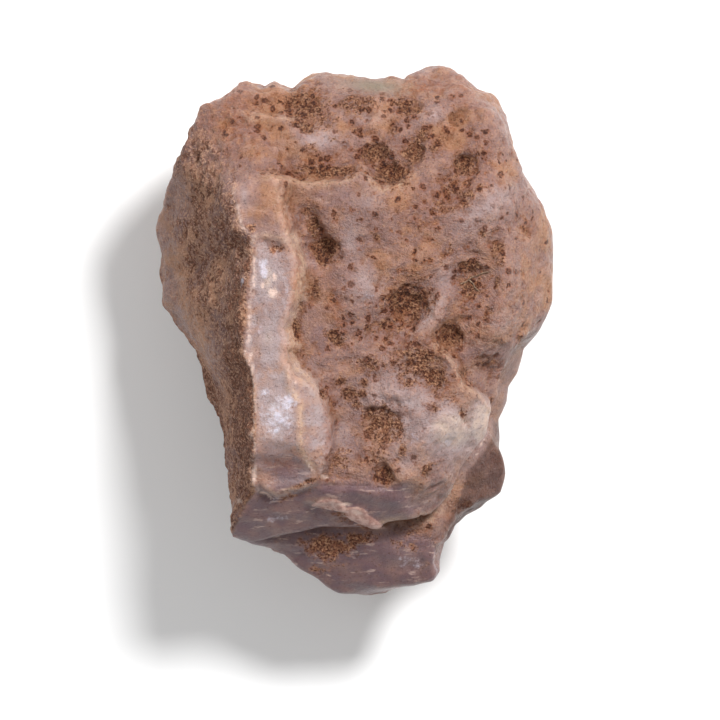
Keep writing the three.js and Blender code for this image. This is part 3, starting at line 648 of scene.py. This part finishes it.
def fine_height(x, y, z, zones):
    """How far the fine relief stands, in millimetres, on a surface whose zones are known."""
    points = np.stack([x, y, z], axis=1)
    bent = points + 0.5 * np.stack([perlin(points, 2.5, 5.0 * i) for i in range(3)], axis=1)
    small = perlin(points, 0.8, 60.0)
    dirt = zones["dirt"] + 0.55 * perlin(bent, 1.6, 90.0) + 0.25 * perlin(points, 0.8, 95.0)
    dirt = smoothstep(0.30, 0.80, dirt)
    open_face = zones["face"] * (1 - 0.9 * zones["smooth"]) * (1 - 0.65 * patches(CALM_PATCHES, x, y))
    knobs = KNOB_RISE * (rounded(bent, 3.0, 3.0) - 0.5) * (0.6 + perlin(points, 6.0, 20.0))
    lumps = knobs + 0.42 * perlin(points, 2.4, 30.0) + 0.22 * perlin(points, 1.1, 40.0) + 0.12 * small
    grain = 0.36 * perlin(points, 1.4, 50.0) + 0.26 * small
    clods = CLOD_RISE * perlin(bent, 3.2, 70.0)
    rough = np.maximum(zones["soil"], 0.8 * dirt)
    ribs = RIB_RISE * np.sin(2.2 * y + 0.5 * x + 3.0 * perlin(points, 7.0, 33.0)) * zones["smooth"]
    raised = FLAKE_RISE * zones["flake"] + INNER_RIM_RISE * inner_rim_map(x, y) * zones["face"]
    pits = PIT_DEPTH * smoothstep(0.22, 0.5, perlin(bent, 1.5, 80.0)) * zones["freckle"]
    sunk = pits + DIRT_DEPTH * dirt + CHIP_DEPTH * (zones["chip"] + zones["warm_chip"])
    height = lumps * open_face * (1 - 0.6 * dirt) + (grain + clods * zones["soil"]) * rough
    return height + ribs + raised - sunk


def near_planes(planes, x, y, z, reach):
    """1 on a facet that one of the planes cuts, and 0 deeper than the reach below them all."""
    return np.max([smoothstep(-reach, -reach / 3, over_plane(x, y, z, plane)) for plane in planes], axis=0)


def soil_cover(x, y, z):
    """How thickly soil lies on the sides: more beside the crest, less along the edge. It is also raised
    towards the bottom, which makes the flank darker there.
    """
    thick = 0.72 + 0.25 * smoothstep(-4.5, -1.0, crest_map(x, y)) * smoothstep(18, 12, y)
    thick = thick - 0.32 * smoothstep(-5.0, -1.0, silhouette_map(x, y)) * smoothstep(14, 19, z)
    # darker towards the bottom
    thick = thick + 0.25 * smoothstep(2, -14, y)
    return thick * smoothstep(26, 2, x)


def zones_at(x, y, z):
    """How much each point belongs to each kind of surface, from 0 to 1."""
    off_flank = 1 - smoothstep(-1.4, -0.1, flank(x, y, z))
    low_front = smoothstep(*LOW_FACE_STARTS, z) * smoothstep(-26, -30, y)
    on_face = np.maximum(smoothstep(*FACE_STARTS, z), low_front) * off_flank
    front = front_map(x, y)
    # the back piece past the boss: soil is left off it here and it is darkened in the material, partly its
    # own brown and partly painted shade
    back = smoothstep(0.0, 0.8, front) * smoothstep(13, 16, x) * smoothstep(-9, -12, y) * (z > 12)

    # the strip and its edges
    wander = noise(x, y, z, 2.2, 23)
    edge = strip_map(x, y) + 0.5 * wander
    along_strip = smoothstep(*STRIP_FOOT, y) * smoothstep(*STRIP_TOP, y) * off_flank
    on_strip = smoothstep(0.8, -0.8, edge) * along_strip
    crest = beside(crest_map(x, y) + 0.3 * noise(x, y, z, 1.5, 24), 0.1, 0.3)
    # a dark line just outside the strip's edge: dirt, and painted shade at the foot of its step
    strip_foot_dirt_and_shade = beside(edge, 0.9, 0.6) * along_strip * (y > -14)
    strip_rim = beside(edge, -0.5, 0.9) * along_strip * smoothstep(-16, -4, y)
    strip_rim = strip_rim * (1 - 0.6 * smoothstep(14, 18, y))
    # painted highlight: a cream band along the lower edge of the front layer
    foot_rim_highlight = beside(front + 0.3 * wander, -1.0, 0.8) * smoothstep(24, 27, z)
    foot_rim_highlight = foot_rim_highlight * smoothstep(2, 5, x) * (y < -24)
    # cream rims along the strip and the inner step, and painted highlights along the step lips and the foot
    # edge
    rim = np.max([strip_rim, 0.7 * step_lip_highlight_map(x, y), inner_rim_map(x, y), 0.9 * foot_rim_highlight], axis=0)

    # smooth facets
    bevel = near_planes(FRONT_PLANES[-2:], x, y, z, 1.5) * smoothstep(-22, -25, y)
    low_facet = near_planes(BACK_PLANES[:1], x, y, z, 2.0) * smoothstep(-29, -32, y)
    grey = np.max([patches(GREY_PATCHES, x, y), bevel, low_facet], axis=0)
    lamella = bump(x, y, (3.6, 39.2), (5.5, 1.2), -5) * on_face
    smooth = np.clip(np.max([0.8 * on_strip, grey, lamella], axis=0), 0, 1)

    soil = soil_cover(x, y, z) * (1 - on_face) * (1 - back)
    dirt = np.max([patches(SOIL_PATCHES, x, y, 1.35), 0.55 * step_foot_map(x, y), 0.35 * strip_foot_dirt_and_shade], axis=0)
    return dict(
        face=on_face,
        soil=np.maximum(soil, 0.72 * patches(EARTH_PATCHES, x, y)),
        dirt=dirt * smoothstep(18, 26, z) * off_flank,
        chip=patches(CHIPS_AND_GLINTS, x, y) * smoothstep(20, 26, z),
        warm_chip=patches(WARM_CHIPS_AND_GLINTS, x, y) * smoothstep(18, 24, z),
        flake=smoothstep(0.3, -0.2, flake_map(x, y)) * smoothstep(24, 28, z),
        stain=patches(STAIN_PATCHES, x, y) * on_face,
        pale=patches(PALE_PATCHES, x, y) * on_face,
        grey=grey * on_face,
        smooth=smooth * on_face,
        strip=on_strip * on_face * smoothstep(17, 12, y),
        rim=rim * on_face,
        crest=crest * smoothstep(-27, -24, y) * smoothstep(25, 22, y),
        back=back,
        lamella=lamella,
        freckle=on_face * (1 - 0.85 * smooth) * (0.4 + 0.6 * patches(FRECKLE_PATCHES, x, y)),
    )


def add_object(name, data):
    thing = bpy.data.objects.new(name, data)
    bpy.context.scene.collection.objects.link(thing)
    return thing


def with_remesh(source, pitch):
    """The solid's own surface, with an even fine mesh."""
    copy = add_object("fine_start", source.data.copy())
    remesh = copy.modifiers.new("remesh", "REMESH")
    remesh.mode = "VOXEL"
    remesh.voxel_size = pitch * MM
    evaluated = copy.evaluated_get(bpy.context.evaluated_depsgraph_get())
    mesh = bpy.data.meshes.new_from_object(evaluated)
    bpy.data.objects.remove(copy)
    mesh.materials.clear()
    return mesh


def points_of(mesh):
    flat = np.empty(len(mesh.vertices) * 3)
    mesh.vertices.foreach_get("co", flat)
    return flat.reshape(-1, 3)


def neighbour_mean(mesh, values, rounds):
    """Values smoothed over the mesh by averaging each point with those beside it."""
    ends = np.empty(len(mesh.edges) * 2, dtype=np.int64)
    mesh.edges.foreach_get("vertices", ends)
    a, b = ends[0::2], ends[1::2]
    count = np.bincount(a, minlength=len(values)) + np.bincount(b, minlength=len(values))
    for _ in range(rounds):
        total = values * 0
        np.add.at(total, a, values[b])
        np.add.at(total, b, values[a])
        values = 0.5 * values + 0.5 * total / count.reshape(-1, *[1] * (values.ndim - 1))
    return values


def make_stone():
    mesh = with_remesh(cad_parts["chalcedony"], MESH_PITCH)
    points = settle(stone, points_of(mesh) / MM, SETTLE_ROUNDS, SETTLE_STEP)
    slope = slope_of(stone, points)
    normal = slope / np.maximum(np.linalg.norm(slope, axis=1), 1e-6)[:, None]
    zones = zones_at(*points.T)
    height = fine_height(*points.T, zones) * smoothstep(0.0, 1.5, points[:, 2])
    points = points + normal * height[:, None]
    points[:, 2] = np.maximum(points[:, 2], 0)
    mesh.vertices.foreach_set("co", (points * MM).ravel())
    mesh.update()
    hollow = ((neighbour_mean(mesh, points, 6) - points) * normal).sum(axis=1)
    zones["hollow"] = neighbour_mean(mesh, hollow, 1)
    for name, values in zones.items():
        layer = mesh.attributes.new(name, "FLOAT", "POINT")
        layer.data.foreach_set("value", values.astype(np.float32))
    mesh.polygons.foreach_set("use_smooth", np.ones(len(mesh.polygons), dtype=bool))
    mesh.update()
    return add_object("chalcedony_stone", mesh)


# Materials

class Nodes:
    """Short calls that build a material's nodes."""

    def __init__(self, name):
        self.material = bpy.data.materials.new(name)
        self.material.use_nodes = True
        self.tree = self.material.node_tree
        self.shader = self.tree.nodes["Principled BSDF"]
        place = self.add("TexCoord")
        scale = self.add("VectorMath")
        scale.operation = "SCALE"
        scale.inputs["Scale"].default_value = 1 / MM
        self.tree.links.new(place.outputs["Object"], scale.inputs[0])
        self.place = scale.outputs[0]

    def add(self, kind):
        return self.tree.nodes.new("ShaderNode" + kind)

    def put(self, socket, value):
        if hasattr(value, "is_linked"):
            self.tree.links.new(value, socket)
        elif isinstance(value, tuple) and len(value) == 3:
            socket.default_value = (*value, 1.0)
        else:
            socket.default_value = value

    def finish(self, name, value):
        """Gives an input of the shader a value, or what another node puts out."""
        self.put(self.shader.inputs[name], value)

    def math(self, operation, a, b=0.0, clamp=False):
        node = self.add("Math")
        node.operation = operation
        node.use_clamp = clamp
        self.put(node.inputs[0], a)
        self.put(node.inputs[1], b)
        return node.outputs[0]

    def times(self, a, b, clamp=False):
        return self.math("MULTIPLY", a, b, clamp)

    def plus(self, a, b):
        return self.math("ADD", a, b)

    def mix(self, share, a, b):
        node = self.add("Mix")
        node.data_type = "RGBA"
        sockets = {socket.identifier: socket for socket in [*node.inputs, *node.outputs]}
        self.put(sockets["Factor_Float"], share)
        self.put(sockets["A_Color"], a)
        self.put(sockets["B_Color"], b)
        return sockets["Result_Color"]

    def noise(self, size, detail=2.0, rough=0.5, offset=0.0, squeeze=(1.0, 1.0, 1.0)):
        """Noise with lumps of about that size in millimetres, about 0.5 in the middle."""
        move = self.add("VectorMath")
        move.operation = "MULTIPLY_ADD"
        self.put(move.inputs[0], self.place)
        move.inputs[1].default_value = squeeze
        move.inputs[2].default_value = (offset * 37.0, offset * 53.0, offset * 71.0)
        node = self.add("TexNoise")
        self.put(node.inputs["Vector"], move.outputs[0])
        self.put(node.inputs["Scale"], 1.0 / size)
        self.put(node.inputs["Detail"], detail)
        self.put(node.inputs["Roughness"], rough)
        return node.outputs["Fac"]

    def bent(self, size, reach):
        """The place, shaken so that shapes drawn there come out ragged."""
        shake = self.add("TexNoise")
        self.put(shake.inputs["Vector"], self.place)
        self.put(shake.inputs["Scale"], 1.0 / size)
        self.put(shake.inputs["Detail"], 3.0)
        node = self.add("VectorMath")
        node.operation = "MULTIPLY_ADD"
        self.put(node.inputs[0], shake.outputs["Color"])
        node.inputs[1].default_value = (reach, reach, reach)
        self.put(node.inputs[2], self.place)
        return node.outputs[0]

    def specks(self, size, share, place):
        """Specks in a share of the cells of that size, larger where there are more: above zero in one."""
        node = self.add("TexVoronoi")
        self.put(node.inputs["Vector"], place)
        self.put(node.inputs["Scale"], 1.0 / size)
        chance = self.add("SeparateColor")
        self.put(chance.inputs[0], node.outputs["Color"])
        radius = self.times(self.math("SUBTRACT", share, chance.outputs[0]), 5.0, True)
        return self.math("SUBTRACT", self.times(radius, 0.42), node.outputs["Distance"])

    def bump(self, height, reach):
        """Tilts the shading by a height, where 1 stands for the reach in millimetres."""
        node = self.add("Bump")
        node.inputs["Distance"].default_value = reach * MM
        self.put(node.inputs["Height"], height)
        self.finish("Normal", node.outputs[0])

    def zone(self, name):
        node = self.add("Attribute")
        node.attribute_name = name
        return node.outputs["Fac"]

    def band(self, value, low, high, to_low=0.0, to_high=1.0):
        node = self.add("MapRange")
        node.interpolation_type = "SMOOTHSTEP"
        self.put(node.inputs["Value"], value)
        self.put(node.inputs["From Min"], low)
        self.put(node.inputs["From Max"], high)
        self.put(node.inputs["To Min"], to_low)
        self.put(node.inputs["To Max"], to_high)
        return node.outputs["Result"]


# Colours, as linear red, green and blue
LILAC = (0.258, 0.147, 0.126)
TAN = (0.35, 0.175, 0.1)
ROSE = (0.395, 0.228, 0.172)
RUST = (0.26, 0.078, 0.024)
CREAM_RIM_AND_HIGHLIGHT = (0.5, 0.33, 0.225)
WHITE = (0.358, 0.28, 0.28)
MILK_AND_PAINTED_LIGHT = (0.56, 0.42, 0.345)
BLUE_WHITE_GLINT = (0.6, 0.56, 0.64)
PINK_WHITE_STONE_AND_GLINT = (0.72, 0.53, 0.45)
PINK = (0.33, 0.17, 0.14)
FLAKE_PINK = (0.54, 0.35, 0.295)
GREY = (0.142, 0.082, 0.094)
LAMELLA = (0.19, 0.15, 0.108)
SHADED_BACK_BROWN = (0.06, 0.013, 0.005)
SKIN_TAN = (0.46, 0.24, 0.145)
SKIN_GREY = (0.25, 0.145, 0.128)
SOIL_DARK = (0.085, 0.028, 0.015)
SOIL_MID = (0.27, 0.105, 0.055)
SOIL_LIGHT = (0.66, 0.39, 0.265)
DIRT_DARK = (0.055, 0.012, 0.005)
DIRT_MID = (0.22, 0.078, 0.032)
DIRT_LIGHT = (0.48, 0.245, 0.13)
ROOT_DARK = (0.1, 0.055, 0.035)
ROOT_LIGHT = (0.25, 0.16, 0.1)
FLOOR_WHITE = (0.92, 0.92, 0.92)


def stone_nodes():
    """The stone's material without a colour yet, with the zones and noises that its layers share."""
    n = Nodes("chalcedony")
    n.soil, n.dirt, n.hollow, n.pale = [n.zone(name) for name in ("soil", "dirt", "hollow", "pale")]
    n.cloud = n.noise(7.0, 4, 0.6, 1.0)
    n.patch = n.noise(2.4, 5, 0.65, 2.0)
    n.ragged = n.noise(1.1, 5, 0.72, 3.0)
    n.grain = n.noise(0.38, 3, 0.65, 4.0)
    n.light_grain = n.noise(0.46, 3, 0.65, 5.0)
    n.rough_skin = n.math("SUBTRACT", 1.0, n.math("MAXIMUM", n.zone("smooth"), n.times(n.pale, 0.75)), True)
    n.near_dirt = n.band(n.dirt, 0.02, 0.55)
    return n


def clean_stone(n):
    """Lilac and tan stone, milky in places and rosier on convex edges, with grey facets, a stain and cream
    rims. The milk on the boss and the cream rims are partly painted highlights.
    """
    colour = n.mix(n.band(n.cloud, 0.46, 0.62), LILAC, TAN)
    colour = n.mix(n.band(n.patch, 0.48, 0.64, 0.0, 0.65), colour, ROSE)
    colour = n.mix(n.times(n.pale, n.band(n.patch, 0.32, 0.58, 0.45, 0.95), True), colour, WHITE)
    colour = n.mix(n.times(n.zone("strip"), n.band(n.patch, 0.38, 0.60, 0.85, 0.05)), colour, WHITE)
    # milk, partly painted light on the boss, which turns from the lamp
    milky_and_lit = n.times(n.band(n.pale, 0.80, 1.2), n.band(n.ragged, 0.38, 0.64, 0.9, 0.3))
    colour = n.mix(milky_and_lit, colour, MILK_AND_PAINTED_LIGHT)
    # rosier on convex edges
    colour = n.mix(n.band(n.hollow, -0.03, -0.14, 0.0, 0.40), colour, ROSE)
    grey = n.times(n.zone("grey"), n.band(n.patch, 0.3, 0.7, 1.0, 0.65), True)
    grey = n.times(grey, n.band(n.pale, 0.0, 1.0, 1.0, 0.5))
    colour = n.mix(grey, colour, GREY)
    ticks = n.band(n.noise(0.9, 3, 0.6, 7.0, (0.25, 1.0, 0.6)), 0.58, 0.70, 0.0, 0.5)
    colour = n.mix(n.times(grey, ticks), colour, PINK_WHITE_STONE_AND_GLINT)
    colour = n.mix(n.zone("lamella"), colour, LAMELLA)
    colour = n.mix(n.times(n.zone("stain"), n.band(n.ragged, 0.38, 0.62, 0.05, 0.7), True), colour, RUST)
    # cream rims, partly painted highlights along edges that catch the light
    return n.mix(n.times(n.zone("rim"), n.band(n.ragged, 0.36, 0.60, 0.9, 0.3)), colour, CREAM_RIM_AND_HIGHLIGHT)


def with_skin(n, colour):
    """Granular skin: reddish and light grains, more of them round the dirt and in hollows."""
    red = n.band(n.plus(n.ragged, n.times(n.near_dirt, 0.16)), 0.52, 0.68, 0.0, 0.60)
    red = n.times(n.times(red, n.rough_skin), n.band(n.grain, 0.42, 0.58, 0.15, 1.0))
    colour = n.mix(red, colour, DIRT_MID)
    light = n.times(n.band(n.light_grain, 0.55, 0.66, 0.0, 0.45), n.rough_skin)
    colour = n.mix(light, colour, DIRT_LIGHT)
    sunk = n.times(n.band(n.hollow, 0.02, 0.12, 0.0, 0.50), n.rough_skin, True)
    return n.mix(sunk, colour, DIRT_MID)


def with_dirt(n, colour):
    """Ragged patches of dark, brown and light grains, and small ringed specks, and a painted shade over the
    back piece. Also the dirt's cover.
    """
    uneven = n.plus(n.times(n.ragged, 1.7), n.times(n.patch, 1.3))
    film = n.band(n.plus(n.times(n.dirt, 0.80), uneven), 1.72, 2.30)
    share = n.plus(n.times(n.zone("freckle"), 0.46), n.times(n.near_dirt, 0.22))
    specks = n.specks(1.25, share, n.bent(0.6, 1.2))
    body = n.mix(n.band(n.light_grain, 0.46, 0.60), DIRT_MID, DIRT_LIGHT)
    colour = n.mix(n.times(film, 0.85), colour, body)
    # painted shade: the back piece is darkened to a deep brown, partly its own soil and partly the shade it
    # lies in
    colour = n.mix(n.times(n.zone("back"), n.band(n.patch, 0.3, 0.6, 0.9, 0.65)), colour, SHADED_BACK_BROWN)
    ring = n.times(n.band(specks, -0.22, 0.02, 0.0, 0.6), n.rough_skin)
    colour = n.mix(ring, colour, RUST)
    dark = n.band(n.plus(n.grain, n.times(film, 0.10)), 0.56, 0.68)
    colour = n.mix(n.times(dark, n.band(film, 0.0, 0.5, 0.55, 0.9)), colour, DIRT_DARK)
    spot = n.times(n.band(specks, -0.04, 0.08), n.band(n.grain, 0.36, 0.54, 0.4, 1.0))
    spot = n.times(spot, n.band(specks, 0.20, 0.32, 1.0, 0.45))
    return n.mix(n.times(spot, n.rough_skin), colour, DIRT_DARK), film


def with_soil(n, colour):
    """Weathered skin and packed soil over the flank and the underside. Also how much of it there is."""
    clods = n.noise(1.5, 5, 0.7, 6.0, (1.0, 0.75, 1.0))
    veil = n.band(n.plus(n.soil, n.times(n.ragged, 1.4)), 0.95, 1.45)
    packed = n.band(n.plus(clods, n.times(n.soil, 0.25)), 0.62, 0.76)
    earth = n.mix(n.band(n.cloud, 0.42, 0.60), SKIN_GREY, SKIN_TAN)
    earth = n.mix(n.band(n.patch, 0.42, 0.64, 0.0, 0.7), earth, SKIN_TAN)
    earth = n.mix(n.times(packed, 0.85), earth, SOIL_MID)
    earth = n.mix(n.band(n.light_grain, 0.50, 0.62, 0.0, 0.75), earth, SOIL_LIGHT)
    dark = n.band(n.plus(n.grain, n.times(packed, 0.09)), 0.54, 0.64, 0.0, 0.8)
    earth = n.mix(n.times(dark, n.band(packed, 0.0, 0.6, 0.5, 1.0)), earth, SOIL_DARK)
    return n.mix(veil, colour, earth), veil


def with_fresh_edges(n, colour):
    """The crest, the flake and the chips, where clean stone shows; the chips are partly painted glints and
    highlights.
    """
    colour = n.mix(n.times(n.zone("crest"), n.band(n.ragged, 0.38, 0.56, 0.85, 0.1)), colour, PINK_WHITE_STONE_AND_GLINT)
    flake = n.mix(n.band(n.ragged, 0.40, 0.60), FLAKE_PINK, PINK)
    colour = n.mix(n.band(n.plus(n.zone("flake"), n.ragged), 0.75, 1.15), colour, flake)
    # chips, partly painted glints and highlights
    for name, fresh in [("chip", BLUE_WHITE_GLINT), ("warm_chip", PINK_WHITE_STONE_AND_GLINT)]:
        chip = n.zone(name)
        broken = n.band(n.plus(chip, n.times(n.ragged, 2.0)), 1.35, 2.10, 0.0, 0.9)
        colour = n.mix(n.times(broken, n.band(chip, 0.10, 0.35)), colour, fresh)
    return colour


def make_stone_material():
    n = stone_nodes()
    colour, film = with_dirt(n, with_skin(n, clean_stone(n)))
    colour, veil = with_soil(n, colour)
    n.finish("Base Color", with_fresh_edges(n, colour))

    covered = n.math("MAXIMUM", veil, film)
    n.finish("Roughness", n.band(covered, 0.0, 1.0, 0.30, 0.92))
    n.finish("Subsurface Weight", n.band(covered, 0.0, 1.0, 0.45, 0.0))
    n.shader.inputs["Subsurface Radius"].default_value = (1.0, 0.62, 0.50)
    n.finish("Subsurface Scale", 0.0012)
    n.finish("IOR", 1.54)
    n.finish("Specular IOR Level", 0.36)

    crisp = n.times(n.grain, n.band(n.math("MAXIMUM", n.soil, n.dirt), 0.1, 0.9, 0.6, 2.0))
    crisp = n.times(crisp, n.band(n.rough_skin, 0.0, 1.0, 0.2, 1.0))
    n.bump(n.plus(crisp, n.times(n.ragged, n.band(n.rough_skin, 0.0, 1.0, 0.4, 1.5))), 0.60)
    return n.material


def make_rootlet_material():
    n = Nodes("rootlet")
    colour = n.mix(n.band(n.noise(0.4, 3, 0.6, 1.0), 0.4, 0.6), ROOT_DARK, ROOT_LIGHT)
    n.finish("Base Color", colour)
    n.finish("Roughness", 0.8)
    return n.material


# Rootlet

def tube(path, radius, sides=7):
    """Points and faces of a closed tube along a path."""
    points, faces = [], []
    for i, place in enumerate(path):
        ahead = (path[min(i + 1, len(path) - 1)] - path[max(i - 1, 0)]).normalized()
        side = ahead.cross(Vector((0, 0, 1))).normalized()
        up = side.cross(ahead)
        width = radius * (0.35 if i in (0, len(path) - 1) else 1.0)
        for k in range(sides):
            turn = 2 * math.pi * k / sides
            points.append(place + side * (math.cos(turn) * width) + up * (math.sin(turn) * width))
    for i in range(len(path) - 1):
        for k in range(sides):
            a, b = i * sides + k, i * sides + (k + 1) % sides
            faces.append((a, b, b + sides, a + sides))
    faces.append(tuple(reversed(range(sides))))
    last = (len(path) - 1) * sides
    faces.append(tuple(range(last, last + sides)))
    return points, faces


def height_over(piece, x, y):
    """Height of the stone's surface at x and y, in millimetres."""
    hit, place, _, _ = piece.ray_cast(Vector((x * MM, y * MM, 0.1)), Vector((0, 0, -1)))
    return place.z / MM if hit else 0.0


def make_rootlet(piece):
    """A thin root fibre with one branch, lying over the hollow on the right."""
    points, faces = [], []
    for route in ROOTLET_ROUTES:
        path = []
        for (ax, ay), (bx, by) in zip(route[:-1], route[1:]):
            for step in range(5):
                t = step / 5
                path.append((ax + (bx - ax) * t, ay + (by - ay) * t))
        path.append(route[-1])
        placed = [Vector((x, y, height_over(piece, x, y) + ROOTLET_LIFT)) * MM for x, y in path]
        inner = [(a + b * 2 + c) / 4 for a, b, c in zip(placed, placed[1:], placed[2:])]
        more_points, more_faces = tube([placed[0], *inner, placed[-1]], ROOTLET_RADIUS * MM)
        faces += [tuple(i + len(points) for i in face) for face in more_faces]
        points += more_points
    mesh = bpy.data.meshes.new("rootlet")
    mesh.from_pydata(points, [], faces)
    mesh.polygons.foreach_set("use_smooth", [True] * len(mesh.polygons))
    return add_object("rootlet", mesh)


# Stage, light and camera

def make_floor():
    half = FLOOR_HALF * MM
    mesh = bpy.data.meshes.new("floor")
    corners = [(-half, -half, 0), (half, -half, 0), (half, half, 0), (-half, half, 0)]
    mesh.from_pydata(corners, [], [(0, 1, 2, 3)])
    n = Nodes("floor")
    n.finish("Base Color", FLOOR_WHITE)
    n.finish("Roughness", 0.9)
    mesh.materials.append(n.material)
    floor = add_object("floor", mesh)


def add_light(name, place, size, power):
    """A soft round light that points at the stone."""
    data = bpy.data.lights.new(name, "AREA")
    data.shape = "DISK"
    data.size = size * MM
    data.energy = power
    light = add_object(name, data)
    light.location = Vector(place) * MM
    target = Vector((0, 0, VIEW_LEVEL)) * MM
    light.rotation_euler = (target - light.location).to_track_quat("-Z", "Y").to_euler()


def make_light():
    world = bpy.data.worlds.new("studio")
    world.use_nodes = True
    world.node_tree.nodes["Background"].inputs["Color"].default_value = (1.0, 1.0, 1.0, 1.0)
    world.node_tree.nodes["Background"].inputs["Strength"].default_value = WORLD_LIGHT
    bpy.context.scene.world = world
    for light in LIGHTS:
        add_light(**light)
    bpy.context.scene.view_settings.view_transform = "Standard"


def make_camera():
    """A camera that looks straight down, with the view's width at the level of the stone's middle."""
    data = bpy.data.cameras.new("camera")
    data.sensor_width = SENSOR_WIDTH
    data.lens = SENSOR_WIDTH * CAMERA_HEIGHT / VIEW_WIDTH
    data.clip_start = 0.01
    data.clip_end = 10.0
    camera = add_object("camera", data)
    camera.location = Vector((*VIEW_MIDDLE, CAMERA_HEIGHT + VIEW_LEVEL)) * MM
    bpy.context.scene.camera = camera


make_floor()
make_light()
make_camera()

nodule = make_stone()
nodule.data.materials.append(make_stone_material())
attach(nodule, "root")
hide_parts("chalcedony")

fibre = make_rootlet(nodule)
fibre.data.materials.append(make_rootlet_material())
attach(fibre, "root")
